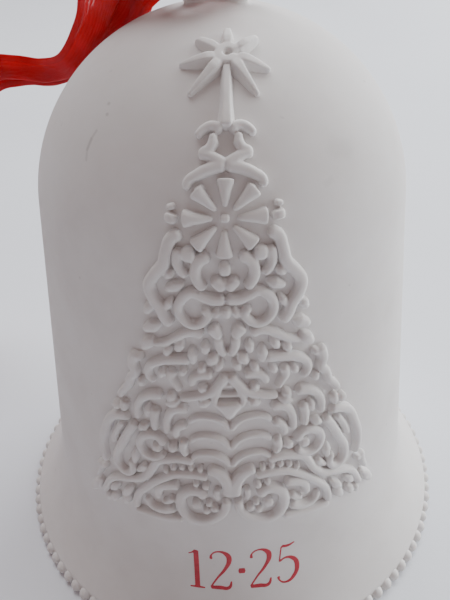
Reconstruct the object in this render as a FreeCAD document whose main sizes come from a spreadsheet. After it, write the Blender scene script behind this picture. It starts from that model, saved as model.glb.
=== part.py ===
import FreeCAD, Part
import math
import os

import Sketcher
from FreeCAD import Matrix, Placement, Rotation, Vector

# Bisque porcelain Christmas bell ornament with a raised scrollwork tree, a printed date, a hanging
# loop threaded with a ribbon, and a ball clapper hung inside on wire.
#
# Frame: +Z up, origin at the centre of the rim's resting plane, tree on the -Y side. Millimetres.

DOC = FreeCAD.newDocument("christmas_bell")

# ---------------------------------------------------------------------------------------------
# Driving dimensions
# ---------------------------------------------------------------------------------------------

DIMENSIONS = [
    # bell body
    ("flare_reach", 5.84, "how far the lip stands out past the foot of the straight side"),
    ("lip_height", 1.9, "height of the upright edge of the lip"),
    ("flare_height", 14.1, "where the straight side turns into the flare"),
    ("dome_radius", 23.2, "outside radius of the crown"),
    ("dome_centre", 52.6, "height of the crown's centre"),
    ("side_taper", 5.77, "lean of the straight side, degrees"),
    ("wall", 2.2, "wall thickness"),
    # beads round the lip
    ("bead_pitch", 2.0, "distance from one rim bead to the next"),
    ("bead_gap", 0.1, "gap between neighbouring beads"),
    # hanging loop
    ("lug_radius", 3.7, "centre line radius of the hanging loop"),
    ("lug_thickness", 2.4, "thickness of the hanging loop"),
    ("lug_sink", 1.4, "depth of the loop's foot below the crown's top"),
    # relief tree
    ("relief_height", 1.2, "height of the scrollwork above the body"),
    ("star_height", 1.7, "height of the star and stem above the body"),
    ("star_lean", 0.9, "how far the star leans to the right of the tree's centre line"),
    ("star_gap", 8.0, "distance from the crown's top to the star's tip, over the surface"),
    ("foot_gap", 18.95, "distance from the lip to the tree's foot, over the surface"),
    # printed date
    ("print_thickness", 0.08, "thickness of the fired print"),
    ("date_base", 11.7, "distance of the date's base line below the tree's foot"),
    ("date_height", 6.4, "height of a numeral"),
    ("date_stroke", 0.7, "width of a numeral's stroke"),
    # clapper
    ("wire", 1.0, "wire thickness"),
    ("eye_radius", 2.1, "centre line radius of each wire eye"),
    ("eye_drop", 6.6, "crown's inside down to the centre of the fixed eye"),
    ("cement_radius", 4.2, "radius of the dab of cement in the crown"),
    ("cement_depth", 2.6, "depth of the dab of cement"),
    ("link_length", 24.0, "centre line length of the wire link"),
    ("hang_gap", 0.08, "play between hung wires"),
    ("ball_radius", 6.5, "radius of the clapper ball"),
    ("ball_height", 12.0, "height of the clapper ball's centre"),
    ("head_radius", 1.3, "radius of the wire's flattened end"),
    ("head_length", 0.8, "length of the wire's flattened end"),
    ("head_sink", 0.1, "how far the flattened end reaches into the wire's shank"),
    ("bore_gap", 0.05, "play of the wire in the ball's bore"),
    ("cement_gap", 0.02, "play of the fixed eye's shank in the cement"),
    ("shank_gap", 0.3, "room between the fixed eye's shank and the crown"),
    # ribbon
    ("ribbon_width", 10.0, "width of the ribbon"),
    ("ribbon_bulk", 1.2, "thickness of the space a ribbon strand takes"),
    ("ribbon_throat", 2.6, "side of the gathered ribbon in the loop"),
    ("ribbon_play", 0.4, "room between the gathered ribbon and the hanging loop"),
    ("ribbon_fan", 2.0, "length over which the gathered ribbon spreads to its width"),
    ("ribbon_bearing", 153.0, "direction in which the ribbon falls, degrees from +X"),
    ("strand_rise", 0.7, "height of each strand's start from the hanging loop's centre"),
    ("knot_reach", 73.0, "distance from the bell's axis to the near end of the knot"),
    ("knot_length", 8.0, "length of the ribbon's knot"),
    ("knot_height", 5.0, "height of the ribbon's knot"),
    ("knot_play", 0.5, "room between the strands' ends and the knot"),
    ("tail_length", 18.0, "length of a ribbon tail"),
    ("tail_bulk", 0.9, "thickness of the space a ribbon tail takes"),
    ("tail_step", 1.2, "height of the second tail above the first"),
    ("floor_gap", 0.2, "height of the knot and the first tail above the resting plane"),
]

sizes = DOC.addObject("Spreadsheet::Sheet", "sizes")
for row, (alias, value, note) in enumerate(DIMENSIONS, start=1):
    sizes.set(f"A{row}", alias)
    sizes.set(f"B{row}", str(value))
    sizes.set(f"C{row}", note)
    sizes.setAlias(f"B{row}", alias)
DOC.recompute()


def size(alias):
    """The value of one driving dimension."""
    return float(getattr(sizes, alias))


# Sizes that follow from the driving dimensions by geometry.
FOLLOWS = [
    ("side_top_radius", "sizes.dome_radius * cos(sizes.side_taper * 1 deg)"),
    ("side_top_height", "sizes.dome_centre + sizes.dome_radius * sin(sizes.side_taper * 1 deg)"),
    ("waist_radius", "shape.side_top_radius"
     " + (shape.side_top_height - sizes.flare_height) * tan(sizes.side_taper * 1 deg)"),
    ("lip_radius", "shape.waist_radius + sizes.flare_reach"),
    ("flare_turn", "2 * atan(sizes.flare_reach"
     " / (sizes.flare_height - sizes.lip_height)) / 1 deg - sizes.side_taper"),
    ("flare_radius", "(sizes.flare_height - sizes.lip_height)"
     " / (sin(shape.flare_turn * 1 deg) - sin(sizes.side_taper * 1 deg))"),
    ("flare_centre_radius", "shape.waist_radius"
     " + shape.flare_radius * cos(sizes.side_taper * 1 deg)"),
    ("flare_centre_height", "sizes.flare_height"
     " + shape.flare_radius * sin(sizes.side_taper * 1 deg)"),
    ("bead_radius", "(sizes.bead_pitch - sizes.bead_gap) / 2"),
    ("bead_count", "round(2 * pi * shape.lip_radius / sizes.bead_pitch)"),
    ("crown_inside", "sizes.dome_centre + sizes.dome_radius - sizes.wall"),
    ("lug_centre", "sizes.dome_centre + sizes.dome_radius + sizes.lug_radius"
     " + sizes.lug_thickness / 2 - sizes.lug_sink"),
    ("fixed_eye", "shape.crown_inside - sizes.eye_drop"),
    ("link_top", "shape.fixed_eye - sizes.eye_radius + sizes.wire + sizes.hang_gap"),
    ("link_bottom", "shape.link_top - sizes.link_length"),
    ("clapper_top", "shape.link_bottom + sizes.wire + sizes.hang_gap"),
]

shape = DOC.addObject("App::VarSet", "shape")
for name, formula in FOLLOWS:
    shape.addProperty("App::PropertyFloat", name)
    shape.setExpression(name, formula)
    DOC.recompute()


def derived(name):
    """The value of one size that follows from others."""
    return float(getattr(shape, name))


# ---------------------------------------------------------------------------------------------
# Building helpers
# ---------------------------------------------------------------------------------------------


def origin_plane(body, role):
    """One of a body's own origin planes."""
    return next(item for item in body.Origin.OriginFeatures if item.Role == role)


def number(formula):
    """The value of a formula in sizes and derived sizes."""
    value = sizes.evalExpression(formula)
    return float(getattr(value, "Value", value))


def pin_point(sketch, index, end, across, up):
    """Fix one end of a sketch edge at the given formulas for its two coordinates."""
    for kind, axis, formula in (("DistanceX", -2, across), ("DistanceY", -1, up)):
        if formula == "0":
            sketch.addConstraint(Sketcher.Constraint("PointOnObject", index, end, axis))
            continue
        rule = Sketcher.Constraint(kind, -1, 1, index, end, number(formula))
        place = sketch.addConstraint(rule)
        sketch.setExpression(f"Constraints[{place}]", formula)


def outline_sketch(body, outline):
    """Closed sketch on the body's XZ plane.

    outline lists edges: (end across, end up) for a straight edge, and
    (end across, end up, centre across, centre up, radius, turn) for an arc,
    where turn is +1 anticlockwise and -1 clockwise.
    """
    sketch = body.newObject("Sketcher::SketchObject", body.Name + "_outline")
    sketch.AttachmentSupport = [(origin_plane(body, "XZ_Plane"), "")]
    sketch.MapMode = "FlatFace"
    ends = [Vector(number(edge[0]), number(edge[1]), 0) for edge in outline]
    for index, edge in enumerate(outline):
        start, end = ends[index - 1], ends[index]
        if len(edge) == 2:
            sketch.addGeometry(Part.LineSegment(start, end), False)
            pin_point(sketch, index, 2, edge[0], edge[1])
            continue
        centre = Vector(number(edge[2]), number(edge[3]), 0)
        radius, turn = number(edge[4]), edge[5]
        first, last = (start, end) if turn > 0 else (end, start)
        angles = [math.atan2(p.y - centre.y, p.x - centre.x) for p in (first, last)]
        if angles[1] < angles[0]:
            angles[1] += 2 * math.pi
        circle = Part.Circle(centre, Vector(0, 0, 1), radius)
        sketch.addGeometry(Part.ArcOfCircle(circle, *angles), False)
        pin_point(sketch, index, 2 if turn > 0 else 1, edge[0], edge[1])
        place = sketch.addConstraint(Sketcher.Constraint("Radius", index, radius))
        sketch.setExpression(f"Constraints[{place}]", edge[4])
    for index, edge in enumerate(outline):
        before = outline[index - 1]
        clockwise_before = len(before) > 2 and before[5] < 0
        clockwise = len(edge) > 2 and edge[5] < 0
        joint = ((index - 1) % len(outline), 1 if clockwise_before else 2,
                 index, 2 if clockwise else 1)
        sketch.addConstraint(Sketcher.Constraint("Coincident", *joint))
    return sketch


def turned_body(label, outline):
    """PartDesign body turned about Z from an outline in the XZ plane."""
    body = DOC.addObject("PartDesign::Body", label)
    body.Label = label
    sketch = outline_sketch(body, outline)
    turning = body.newObject("PartDesign::Revolution", label + "_turning")
    turning.Profile = sketch
    turning.ReferenceAxis = (sketch, ["V_Axis"])
    turning.Angle = 360
    body.Tip = turning
    DOC.recompute()
    return body


def feature(kind, name, formulas=(), placement=None, **links):
    """Document object with linked objects and sizes bound to formulas."""
    item = DOC.addObject(kind, name)
    item.Label = name
    for key, value in links.items():
        setattr(item, key, value)
    if placement is not None:
        item.Placement = placement
    for prop, formula in dict(formulas).items():
        item.setExpression(prop, formula)
    return item


# ---------------------------------------------------------------------------------------------
# Bell body
# ---------------------------------------------------------------------------------------------

TAPER_COS = "cos(sizes.side_taper * 1 deg)"
TAPER_SIN = "sin(sizes.side_taper * 1 deg)"


def side_edges(grow):
    """Formulas for the dome, side and flare of a surface parallel to the outside of the bell.

    grow is the distance outwards from the bell's outside: 0 for the outside itself.
    """
    dome = f"(sizes.dome_radius + {grow})"
    flare = f"(shape.flare_radius - {grow})"
    side_top = (f"{dome} * {TAPER_COS}", f"sizes.dome_centre + {dome} * {TAPER_SIN}")
    side_foot = (f"shape.flare_centre_radius - {flare} * {TAPER_COS}",
                 f"shape.flare_centre_height - {flare} * {TAPER_SIN}")
    return dome, flare, side_top, side_foot


def flare_at(flare, height):
    """Formula for the flare's radius from the axis at a height."""
    return (f"shape.flare_centre_radius - sqrt({flare} * {flare}"
            f" - (shape.flare_centre_height - {height}) * (shape.flare_centre_height - {height}))")


out_dome, out_flare, out_top, out_foot = side_edges("0")
in_dome, in_flare, in_top, in_foot = side_edges("(0 - sizes.wall)")
DOME_CENTRE = ("0", "sizes.dome_centre")
FLARE_CENTRE = ("shape.flare_centre_radius", "shape.flare_centre_height")

bell_shell = turned_body("bell_shell", [
    ("shape.lip_radius", "0"),
    ("shape.lip_radius", "sizes.lip_height"),
    (*out_foot, *FLARE_CENTRE, out_flare, -1),
    out_top,
    ("0", "sizes.dome_centre + sizes.dome_radius", *DOME_CENTRE, out_dome, 1),
    ("0", "sizes.dome_centre + sizes.dome_radius - sizes.wall"),
    (*in_top, *DOME_CENTRE, in_dome, -1),
    in_foot,
    (flare_at(in_flare, "0"), "0", *FLARE_CENTRE, in_flare, 1),
])

# Beads round the lip: half balls whose flat backs lie against the lip's upright edge.
bead_body = DOC.addObject("PartDesign::Body", "rim_beading")
bead_body.Label = "rim_beading"
bead_body.AllowCompound = True
bead_tip = "shape.lip_radius + shape.bead_radius"
bead_sketch = outline_sketch(bead_body, [
    ("shape.lip_radius", "shape.bead_radius"),
    (bead_tip, "shape.bead_radius"),
    ("shape.lip_radius", "2 * shape.bead_radius",
     "shape.lip_radius", "shape.bead_radius", "shape.bead_radius", 1),
])
bead = bead_body.newObject("PartDesign::Revolution", "rim_bead")
bead.Profile = bead_sketch
bead.ReferenceAxis = (bead_sketch, ["Edge2"])
bead.Angle = 360
DOC.recompute()
bead_ring = bead_body.newObject("PartDesign::PolarPattern", "rim_bead_ring")
bead_ring.Originals = [bead]
bead_ring.Axis = (origin_plane(bead_body, "Z_Axis"), [""])
bead_ring.Angle = 360
bead_ring.setExpression("Occurrences", "shape.bead_count")
bead_body.Tip = bead_ring
DOC.recompute()

# Hanging loop: a porcelain ring standing on the crown, its hole facing front.
UPRIGHT = Rotation(Vector(1, 0, 0), 90)
lug_ring = feature("Part::Torus", "lug_ring", {
    "Radius1": "sizes.lug_radius",
    "Radius2": "sizes.lug_thickness / 2",
    "Placement.Base.z": "shape.lug_centre",
}, Placement(Vector(0, 0, 0), UPRIGHT))
crown_seat = feature("Part::Sphere", "crown_seat", {
    "Radius": "sizes.dome_radius",
    "Placement.Base.z": "sizes.dome_centre",
})
hanging_loop = feature("Part::Cut", "hanging_loop", Base=lug_ring, Tool=crown_seat)

# ---------------------------------------------------------------------------------------------
# Surface of the bell, measured over the surface from the crown's top
# ---------------------------------------------------------------------------------------------

TAPER = math.radians(size("side_taper"))
FLARE_TURN = math.radians(derived("flare_turn"))
DOME_RUN = size("dome_radius") * (math.pi / 2 - TAPER)
SIDE_RUN = (derived("side_top_height") - size("flare_height")) / math.cos(TAPER)
LIP_RUN = DOME_RUN + SIDE_RUN + derived("flare_radius") * (FLARE_TURN - TAPER)

# The tree's artwork is drawn 62 mm tall and sized to the room between crown and date.
ART_HEIGHT = 62.0
STAR = (0.0, 58.0)
LEAN_START = 38.0
TREE_FOOT = LIP_RUN - size("foot_gap")
ART_SCALE = (TREE_FOOT - size("star_gap")) / ART_HEIGHT


def meridian(run):
    """Radius, height and outward lean of the surface, a given run below the crown's top."""
    if run < DOME_RUN:
        lift = math.pi / 2 - run / size("dome_radius")
        radius = size("dome_radius") * math.cos(lift)
        return radius, size("dome_centre") + size("dome_radius") * math.sin(lift), lift
    if run < DOME_RUN + SIDE_RUN:
        down = run - DOME_RUN
        radius = derived("side_top_radius") + down * math.sin(TAPER)
        return radius, derived("side_top_height") - down * math.cos(TAPER), TAPER
    turn = TAPER + (run - DOME_RUN - SIDE_RUN) / derived("flare_radius")
    radius = derived("flare_centre_radius") - derived("flare_radius") * math.cos(turn)
    return radius, derived("flare_centre_height") - derived("flare_radius") * math.sin(turn), turn


def on_surface(across, run):
    """Point of the bell's outside, across from the front line and down from the crown."""
    radius, height, _ = meridian(run)
    turn = across / radius
    return Vector(radius * math.sin(turn), -radius * math.cos(turn), height)


def leaning(across, rise):
    """Distance across of an artwork point, with the top of the tree leaning to the right."""
    return across + size("star_lean") * max(0, rise - LEAN_START) / (STAR[1] - LEAN_START)


class Panel:
    """Flat drawing plane that touches the bell at one point of its surface."""

    def __init__(self, across, rise):
        self.run = TREE_FOOT - rise * ART_SCALE
        radius, _, lean = meridian(self.run)
        across = leaning(across, rise) * ART_SCALE
        turn = across / radius
        self.origin = on_surface(across, self.run)
        self.right = Vector(math.cos(turn), math.sin(turn), 0)
        self.up = Vector(-math.sin(lean) * math.sin(turn), math.sin(lean) * math.cos(turn),
                         math.cos(lean))
        self.out = self.right.cross(self.up)

    def flat(self, point):
        """Artwork point (across, rise above the tree's foot) in the plane's coordinates."""
        across, rise = point
        spot = on_surface(leaning(across, rise) * ART_SCALE, TREE_FOOT - rise * ART_SCALE)
        offset = spot - self.origin
        return Vector(offset.dot(self.right), offset.dot(self.up), 0)

    def placement(self):
        """Placement that carries the plane's coordinates to the bell."""
        r, u, n, o = self.right, self.up, self.out, self.origin
        return Placement(Matrix(r.x, u.x, n.x, o.x, r.y, u.y, n.y, o.y,
                                r.z, u.z, n.z, o.z, 0, 0, 0, 1))


# ---------------------------------------------------------------------------------------------
# Artwork shapes, drawn flat on a panel
# ---------------------------------------------------------------------------------------------


def filled(wire):
    """Flat face inside a wire, facing the panel's viewer."""
    face = Part.Face(wire)
    if face.normalAt(0, 0).z < 0:
        face.reverse()
    return face


def disc(panel, centre, radius):
    """Round bead outline."""
    circle = Part.Circle(panel.flat(centre), Vector(0, 0, 1), radius * ART_SCALE)
    return filled(Part.Wire(circle.toShape()))


def polygon(panel, corners):
    """Straight sided outline."""
    points = [panel.flat(corner) for corner in corners]
    return filled(Part.makePolygon(points + points[:1]))


def strap(panel, start, middle, end, width):
    """Strap of even width along an arc through three points, with round ends."""
    a, b, c = (panel.flat(point) for point in (start, middle, end))
    half = width * ART_SCALE / 2
    chord = (c - a).normalize()
    bow = (b - a) - chord * (b - a).dot(chord)
    if bow.Length < 0.02:
        side = Vector(-chord.y, chord.x, 0) * half
        edges = [
            Part.LineSegment(a + side, c + side),
            Part.Arc(c + side, c + chord * half, c - side),
            Part.LineSegment(c - side, a - side),
            Part.Arc(a - side, a - chord * half, a + side),
        ]
        return filled(Part.Wire([edge.toShape() for edge in edges]))
    circle = Part.Arc(a, b, c).toShape().Curve
    centre, radius = circle.Center, circle.Radius
    away = [(point - centre).normalize() for point in (a, b, c)]
    outer = [centre + ray * (radius + half) for ray in away]
    inner = [centre + ray * max(radius - half, 0.05) for ray in away]
    spin = 1 if (a - centre).cross(b - centre).z > 0 else -1
    past_end = c + Vector(-away[2].y, away[2].x, 0) * half * spin
    past_start = a - Vector(-away[0].y, away[0].x, 0) * half * spin
    edges = [
        Part.Arc(outer[0], outer[1], outer[2]),
        Part.Arc(outer[2], past_end, inner[2]),
        Part.Arc(inner[2], inner[1], inner[0]),
        Part.Arc(inner[0], past_start, outer[0]),
    ]
    return filled(Part.Wire([edge.toShape() for edge in edges]))


def scroll(panel, points, width):
    """Chain of straps: each arc runs through three points and the next starts at its end."""
    return [strap(panel, *points[i:i + 3], width) for i in range(0, len(points) - 2, 2)]


def leaf(panel, stalk, tip, width):
    """Pointed leaf between two points: two arcs that meet at its ends."""
    a, c = panel.flat(stalk), panel.flat(tip)
    along = (c - a).normalize()
    side = Vector(-along.y, along.x, 0) * width * ART_SCALE / 2
    middle = (a + c) / 2
    edges = [Part.Arc(a, middle + side, c), Part.Arc(c, middle - side, a)]
    return filled(Part.Wire([edge.toShape() for edge in edges]))


def petal(panel, centre, angle, near, far, near_width, far_width):
    """Wedge that widens outwards from a centre."""
    along = Vector(math.cos(math.radians(angle)), math.sin(math.radians(angle)), 0)
    side = Vector(-along.y, along.x, 0)
    corners = [along * near + side * near_width / 2, along * far + side * far_width / 2,
               along * far - side * far_width / 2, along * near - side * near_width / 2]
    return polygon(panel, [(centre[0] + corner.x, centre[1] + corner.y) for corner in corners])


def other_side(points):
    """The same points mirrored to the left half of the tree."""
    return [(-across, rise) for across, rise in points]


# ---------------------------------------------------------------------------------------------
# Raised blanks that the artwork is cut from
# ---------------------------------------------------------------------------------------------


def blank(label, height):
    """Skin of even height on the outside of the bell, from the lip to the crown."""
    dome, flare, top, foot = side_edges(f"sizes.{height}")
    low = "sizes.lip_height + sizes.relief_height"
    return turned_body(label, [
        (flare_at(flare, low), low),
        (*foot, *FLARE_CENTRE, flare, -1),
        top,
        ("0", f"sizes.dome_centre + sizes.dome_radius + sizes.{height}", *DOME_CENTRE, dome, 1),
        ("0", "sizes.dome_centre + sizes.dome_radius"),
        (*out_top, *DOME_CENTRE, out_dome, -1),
        out_foot,
        (flare_at(out_flare, low), low, *FLARE_CENTRE, out_flare, 1),
    ])


relief_blank = blank("relief_blank", "relief_height")
star_blank = blank("star_blank", "star_height")
print_blank = blank("print_blank", "print_thickness")
RELIEFS = []


def joined(outlines):
    """Overlapping flat outlines merged into one face for each island of artwork."""
    pieces = outlines[0].multiFuse(outlines[1:]).Faces
    islands = []
    for piece in pieces:
        edges = {edge.hashCode() for edge in piece.Edges}
        touching = [island for island in islands if island[0] & edges]
        faces = [piece]
        for island in touching:
            islands.remove(island)
            edges |= island[0]
            faces += island[1]
        islands.append((edges, faces))
    return Part.makeCompound([Part.Shell(faces).removeSplitter() for _, faces in islands])


def raised(label, skin, drawings):
    """Raised motif: each drawing's outlines are cut through the skin, square to its panel.

    drawings lists pairs of a panel and its outlines.
    """
    cuts = []
    for index, (panel, outlines) in enumerate(drawings):
        drawing = DOC.addObject("Part::Feature", f"{label}_drawing_{index}")
        drawing.Shape = joined(outlines) if len(outlines) > 1 else outlines[0]
        drawing.Placement = panel.placement()
        column = feature("Part::Extrusion", f"{label}_column_{index}", {
            "LengthFwd": "2 * sizes.star_height",
            "LengthRev": "2 * sizes.dome_radius / 3",
        }, Base=drawing, DirMode="Custom", Dir=panel.out, Solid=True)
        cuts.append(feature("Part::Common", f"{label}_cut_{index}", Base=column, Tool=skin))
    if len(cuts) == 1:
        motif = cuts[0]
    else:
        motif = feature("Part::Compound", label + "_pair", Links=cuts)
    motif.Label = label
    RELIEFS.append(motif)
    return motif


def pair_of(across, rise, draw):
    """A drawing on a panel to the right and its mirror image on a panel to the left."""
    right, left = Panel(across, rise), Panel(-across, rise)
    return [(right, draw(right, list)), (left, draw(left, other_side))]


FRONT = {name: Panel(0, rise) for name, rise in
         (("star", STAR[1]), ("stem", 53.3), ("collar", 47.2), ("medallion", 41.8), ("heart", 36.0),
          ("scrolls", 32.5), ("sprays", 26.5), ("clasp", 20.5), ("waves", 13.5))}

# Star: seven ridged rays round a hub; the stem takes the place of the eighth.
STAR_RAYS = ((90, 4.0), (38, 4.3), (142, 4.3), (-12, 4.9), (192, 4.9), (-53, 5.8), (233, 5.8))
HUB_RADIUS = 1.7
RAY_HALF_WIDTH = 0.75
RAY_SHOULDER = 1.4


def star_ray(panel, angle, length):
    """Long narrow kite from the star's hub."""
    along = Vector(math.cos(math.radians(angle)), math.sin(math.radians(angle)), 0)
    side = Vector(-along.y, along.x, 0) * RAY_HALF_WIDTH
    corners = [Vector(0, 0, 0), along * RAY_SHOULDER + side, along * length,
               along * RAY_SHOULDER - side]
    return polygon(panel, [(STAR[0] + corner.x, STAR[1] + corner.y) for corner in corners])


panel = FRONT["star"]
raised("tree_star", star_blank, [
    (panel, [disc(panel, STAR, HUB_RADIUS)] + [star_ray(panel, *ray) for ray in STAR_RAYS]),
])

# Stem: tapered bar from the star down to the collar.
panel = FRONT["stem"]
raised("tree_stem", star_blank, [
    (panel, [polygon(panel, [(-0.55, 56.0), (0.55, 56.0), (1.0, 50.6), (-1.0, 50.6)])]),
])

# Collar: curled leaves under the stem and two bands that cross.
panel = FRONT["collar"]
outlines = []
for side in (list, other_side):
    outlines += scroll(panel, side([(0.2, 50.2), (1.8, 50.6), (3.0, 49.7)]), 0.8)
    outlines += scroll(panel, side([(1.5, 49.6), (2.4, 48.3), (1.2, 47.4)]), 0.8)
    outlines += scroll(panel, side([(0.0, 46.8), (1.2, 47.6), (2.5, 48.0)]), 0.8)
    outlines += scroll(panel, side([(0.0, 46.8), (1.6, 46.6), (3.1, 45.7)]), 0.9)
    outlines += scroll(panel, side([(3.1, 45.7), (4.1, 44.9), (3.2, 43.8)]), 0.8)
raised("tree_collar", relief_blank, [(panel, outlines)])

# Medallion: eight petals round a bead, with a square bud at each side.
MEDALLION = (0.0, 41.8)
panel = FRONT["medallion"]
outlines = [disc(panel, MEDALLION, 0.65)]
for angle in range(0, 360, 45):
    outlines.append(petal(panel, MEDALLION, angle, 0.95, 3.9, 0.5, 1.7))
for side in (1, -1):
    outlines.append(petal(panel, MEDALLION, 90 - 90 * side, 4.3, 5.5, 1.3, 1.3))
raised("tree_medallion", relief_blank, [(panel, outlines)])

# Scrolls below the medallion, a heart between them, and beads.
panel = FRONT["heart"]
outlines = [
    polygon(panel, [(0.0, 34.3), (1.1, 36.0), (0.0, 35.4), (-1.1, 36.0)]),
    disc(panel, (0.0, 36.8), 0.55),
]
for side in (list, other_side):
    outlines += scroll(panel, side([(4.6, 40.8), (5.9, 39.4), (6.0, 37.6), (5.2, 36.4),
                                    (3.6, 36.0)]), 0.8)
    outlines += scroll(panel, side([(1.5, 38.1), (2.9, 37.4), (2.9, 35.8), (2.3, 34.6),
                                    (0.7, 34.0)]), 0.8)
    outlines += [disc(panel, point, 0.55) for point in side([(3.9, 38.3)])]
raised("tree_heart_scrolls", relief_blank, [(panel, outlines)])

# Leafy loops at each shoulder of the tree.
panel = FRONT["scrolls"]
outlines = []
for side in (list, other_side):
    outlines += scroll(panel, side([(3.8, 35.2), (5.9, 35.6), (7.6, 34.6), (8.2, 34.2),
                                    (7.5, 32.6), (7.1, 31.0), (6.2, 29.6)]), 0.8)
    outlines.append(leaf(panel, *side([(4.6, 34.8), (6.5, 33.9)]), 0.9))
raised("tree_leaf_loops", relief_blank, [(panel, outlines)])

# Two open volutes joined by a bar, with a drop between them.
panel = FRONT["scrolls"]
outlines = scroll(panel, [(0.0, 32.2), (0.0, 31.6), (0.0, 31.0)], 0.8)
outlines += scroll(panel, [(-2.7, 33.2), (0.0, 33.4), (2.7, 33.2)], 0.6)
for side in (list, other_side):
    outlines += scroll(panel, side([(3.0, 34.1), (4.7, 33.5), (5.3, 32.0), (3.6, 30.1),
                                    (1.9, 31.5)]), 0.8)
raised("tree_volutes", relief_blank, [(panel, outlines)])

# Buds on short stalks.
panel = FRONT["sprays"]
outlines = []
for side in (list, other_side):
    outlines += [disc(panel, point, 0.75) for point in side([(1.0, 29.4)])]
    outlines += scroll(panel, side([(1.0, 29.2), (0.9, 28.0), (0.4, 26.8)]), 0.7)
    outlines.append(leaf(panel, *side([(1.1, 26.4), (2.3, 24.4)]), 0.9))
    outlines.append(leaf(panel, *side([(3.6, 27.2), (3.7, 24.4)]), 0.8))
raised("tree_buds", relief_blank, [(panel, outlines)])

# Leaf sprays that make the tree's ragged edge.
panel = FRONT["sprays"]
outlines = []
for side in (list, other_side):
    outlines += scroll(panel, side([(2.3, 28.1), (4.6, 28.7), (6.8, 27.4)]), 0.7)
    outlines += scroll(panel, side([(3.7, 24.5), (6.6, 25.4), (8.8, 24.1), (9.3, 23.0),
                                    (8.6, 22.0)]), 0.75)
    outlines += scroll(panel, side([(2.4, 23.6), (3.9, 23.4), (4.5, 22.1)]), 0.75)
    outlines += scroll(panel, side([(5.8, 23.8), (6.5, 23.0), (5.9, 21.6)]), 0.7)
    outlines += scroll(panel, side([(10.7, 25.0), (11.2, 23.6), (10.9, 22.0), (12.6, 20.4),
                                    (13.6, 18.4)]), 0.85)
    for stalk, tip, width in (((6.4, 27.8), (9.7, 26.3), 1.1), ((6.6, 29.8), (9.4, 28.9), 0.9),
                              ((8.1, 32.2), (8.8, 30.8), 0.7), ((4.8, 28.3), (5.4, 26.8), 0.7)):
        outlines.append(leaf(panel, *side([stalk, tip]), width))
raised("tree_leaf_sprays", relief_blank, [(panel, outlines)])

# Clasp: a lozenge that ends in a point, and the long stems that leave it.
panel = FRONT["clasp"]
lozenge = polygon(panel, [(-1.5, 22.5), (0.0, 23.1), (1.5, 22.5), (2.0, 20.6), (0.0, 17.4),
                          (-2.0, 20.6)])
slots = [strap(panel, (-0.5, rise), (0.0, rise), (0.5, rise), 0.45) for rise in (21.6, 20.3)]
outlines = lozenge.cut(slots).Faces
for side in (list, other_side):
    outlines += scroll(panel, side([(1.0, 22.3), (1.8, 21.4), (3.2, 20.7), (5.6, 20.0),
                                    (7.7, 18.8)]), 0.8)
raised("tree_clasp", relief_blank, [(panel, outlines)])

# Waves: three double arches that meet in notches.
panel = FRONT["waves"]
outlines = []
for notch in (15.8, 12.8, 9.8):
    for side in (list, other_side):
        outlines += scroll(panel, side([(0.0, notch), (1.2, notch + 1.5), (2.8, notch + 2.1),
                                        (4.0, notch + 1.9), (4.7, notch + 1.0)]), 1.0)
raised("tree_waves", relief_blank, [(panel, outlines)])


def side_leaves(panel, side):
    """Curved leaves beside the waves."""
    outlines = []
    for points, width in (
            ([(4.9, 18.4), (6.8, 17.8), (7.6, 15.2)], 0.8),
            ([(8.5, 18.1), (8.9, 16.6), (9.2, 15.0)], 0.75),
            ([(8.3, 19.9), (10.6, 19.1), (11.5, 16.2)], 0.8),
            ([(12.9, 18.1), (13.1, 17.2), (13.3, 16.2)], 0.7),
            ([(5.5, 15.8), (6.6, 14.4), (7.1, 11.9)], 0.8)):
        outlines += scroll(panel, side(points), width)
    outlines += [disc(panel, point, 0.5) for point in side([(14.2, 16.7)])]
    return outlines


raised("tree_side_leaves", relief_blank, pair_of(9.0, 16.0, side_leaves))


def rosette(panel, side):
    """Oval ring round a bead."""
    outlines = scroll(panel, side([(8.2, 13.6), (11.5, 12.6), (10.6, 10.4), (8.8, 10.8),
                                   (8.0, 12.4)]), 0.7)
    return outlines + [disc(panel, point, 0.5) for point in side([(9.1, 12.3)])]


raised("tree_rosettes", relief_blank, pair_of(9.6, 12.2, rosette))


def side_scroll(panel, side):
    """Large hooked scroll at the tree's lower corner."""
    outlines = scroll(panel, side([(12.9, 15.5), (16.6, 12.6), (17.9, 8.4), (17.6, 6.6),
                                   (16.6, 5.4)]), 0.8)
    outlines += scroll(panel, side([(10.6, 15.4), (13.4, 13.2), (15.2, 10.0), (15.7, 8.2),
                                    (14.8, 6.6), (13.4, 6.6), (12.9, 8.4)]), 0.8)
    return outlines


raised("tree_side_scrolls", relief_blank, pair_of(14.5, 10.0, side_scroll))


def band(panel, side):
    """Two long curved bands with beads between them."""
    outlines = scroll(panel, side([(4.6, 10.6), (7.6, 10.6), (9.8, 9.0), (11.2, 6.4),
                                   (14.0, 4.7), (16.6, 3.4), (18.2, 1.0)]), 0.7)
    outlines += scroll(panel, side([(3.4, 8.8), (6.6, 8.5), (9.2, 6.4), (12.0, 3.8),
                                    (13.2, 0.4)]), 0.7)
    for point in side([(5.2, 9.7), (6.7, 9.6), (8.1, 8.7)]):
        outlines.append(disc(panel, point, 0.4))
    return outlines


raised("tree_beaded_bands", relief_blank, pair_of(10.0, 6.0, band))


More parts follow.
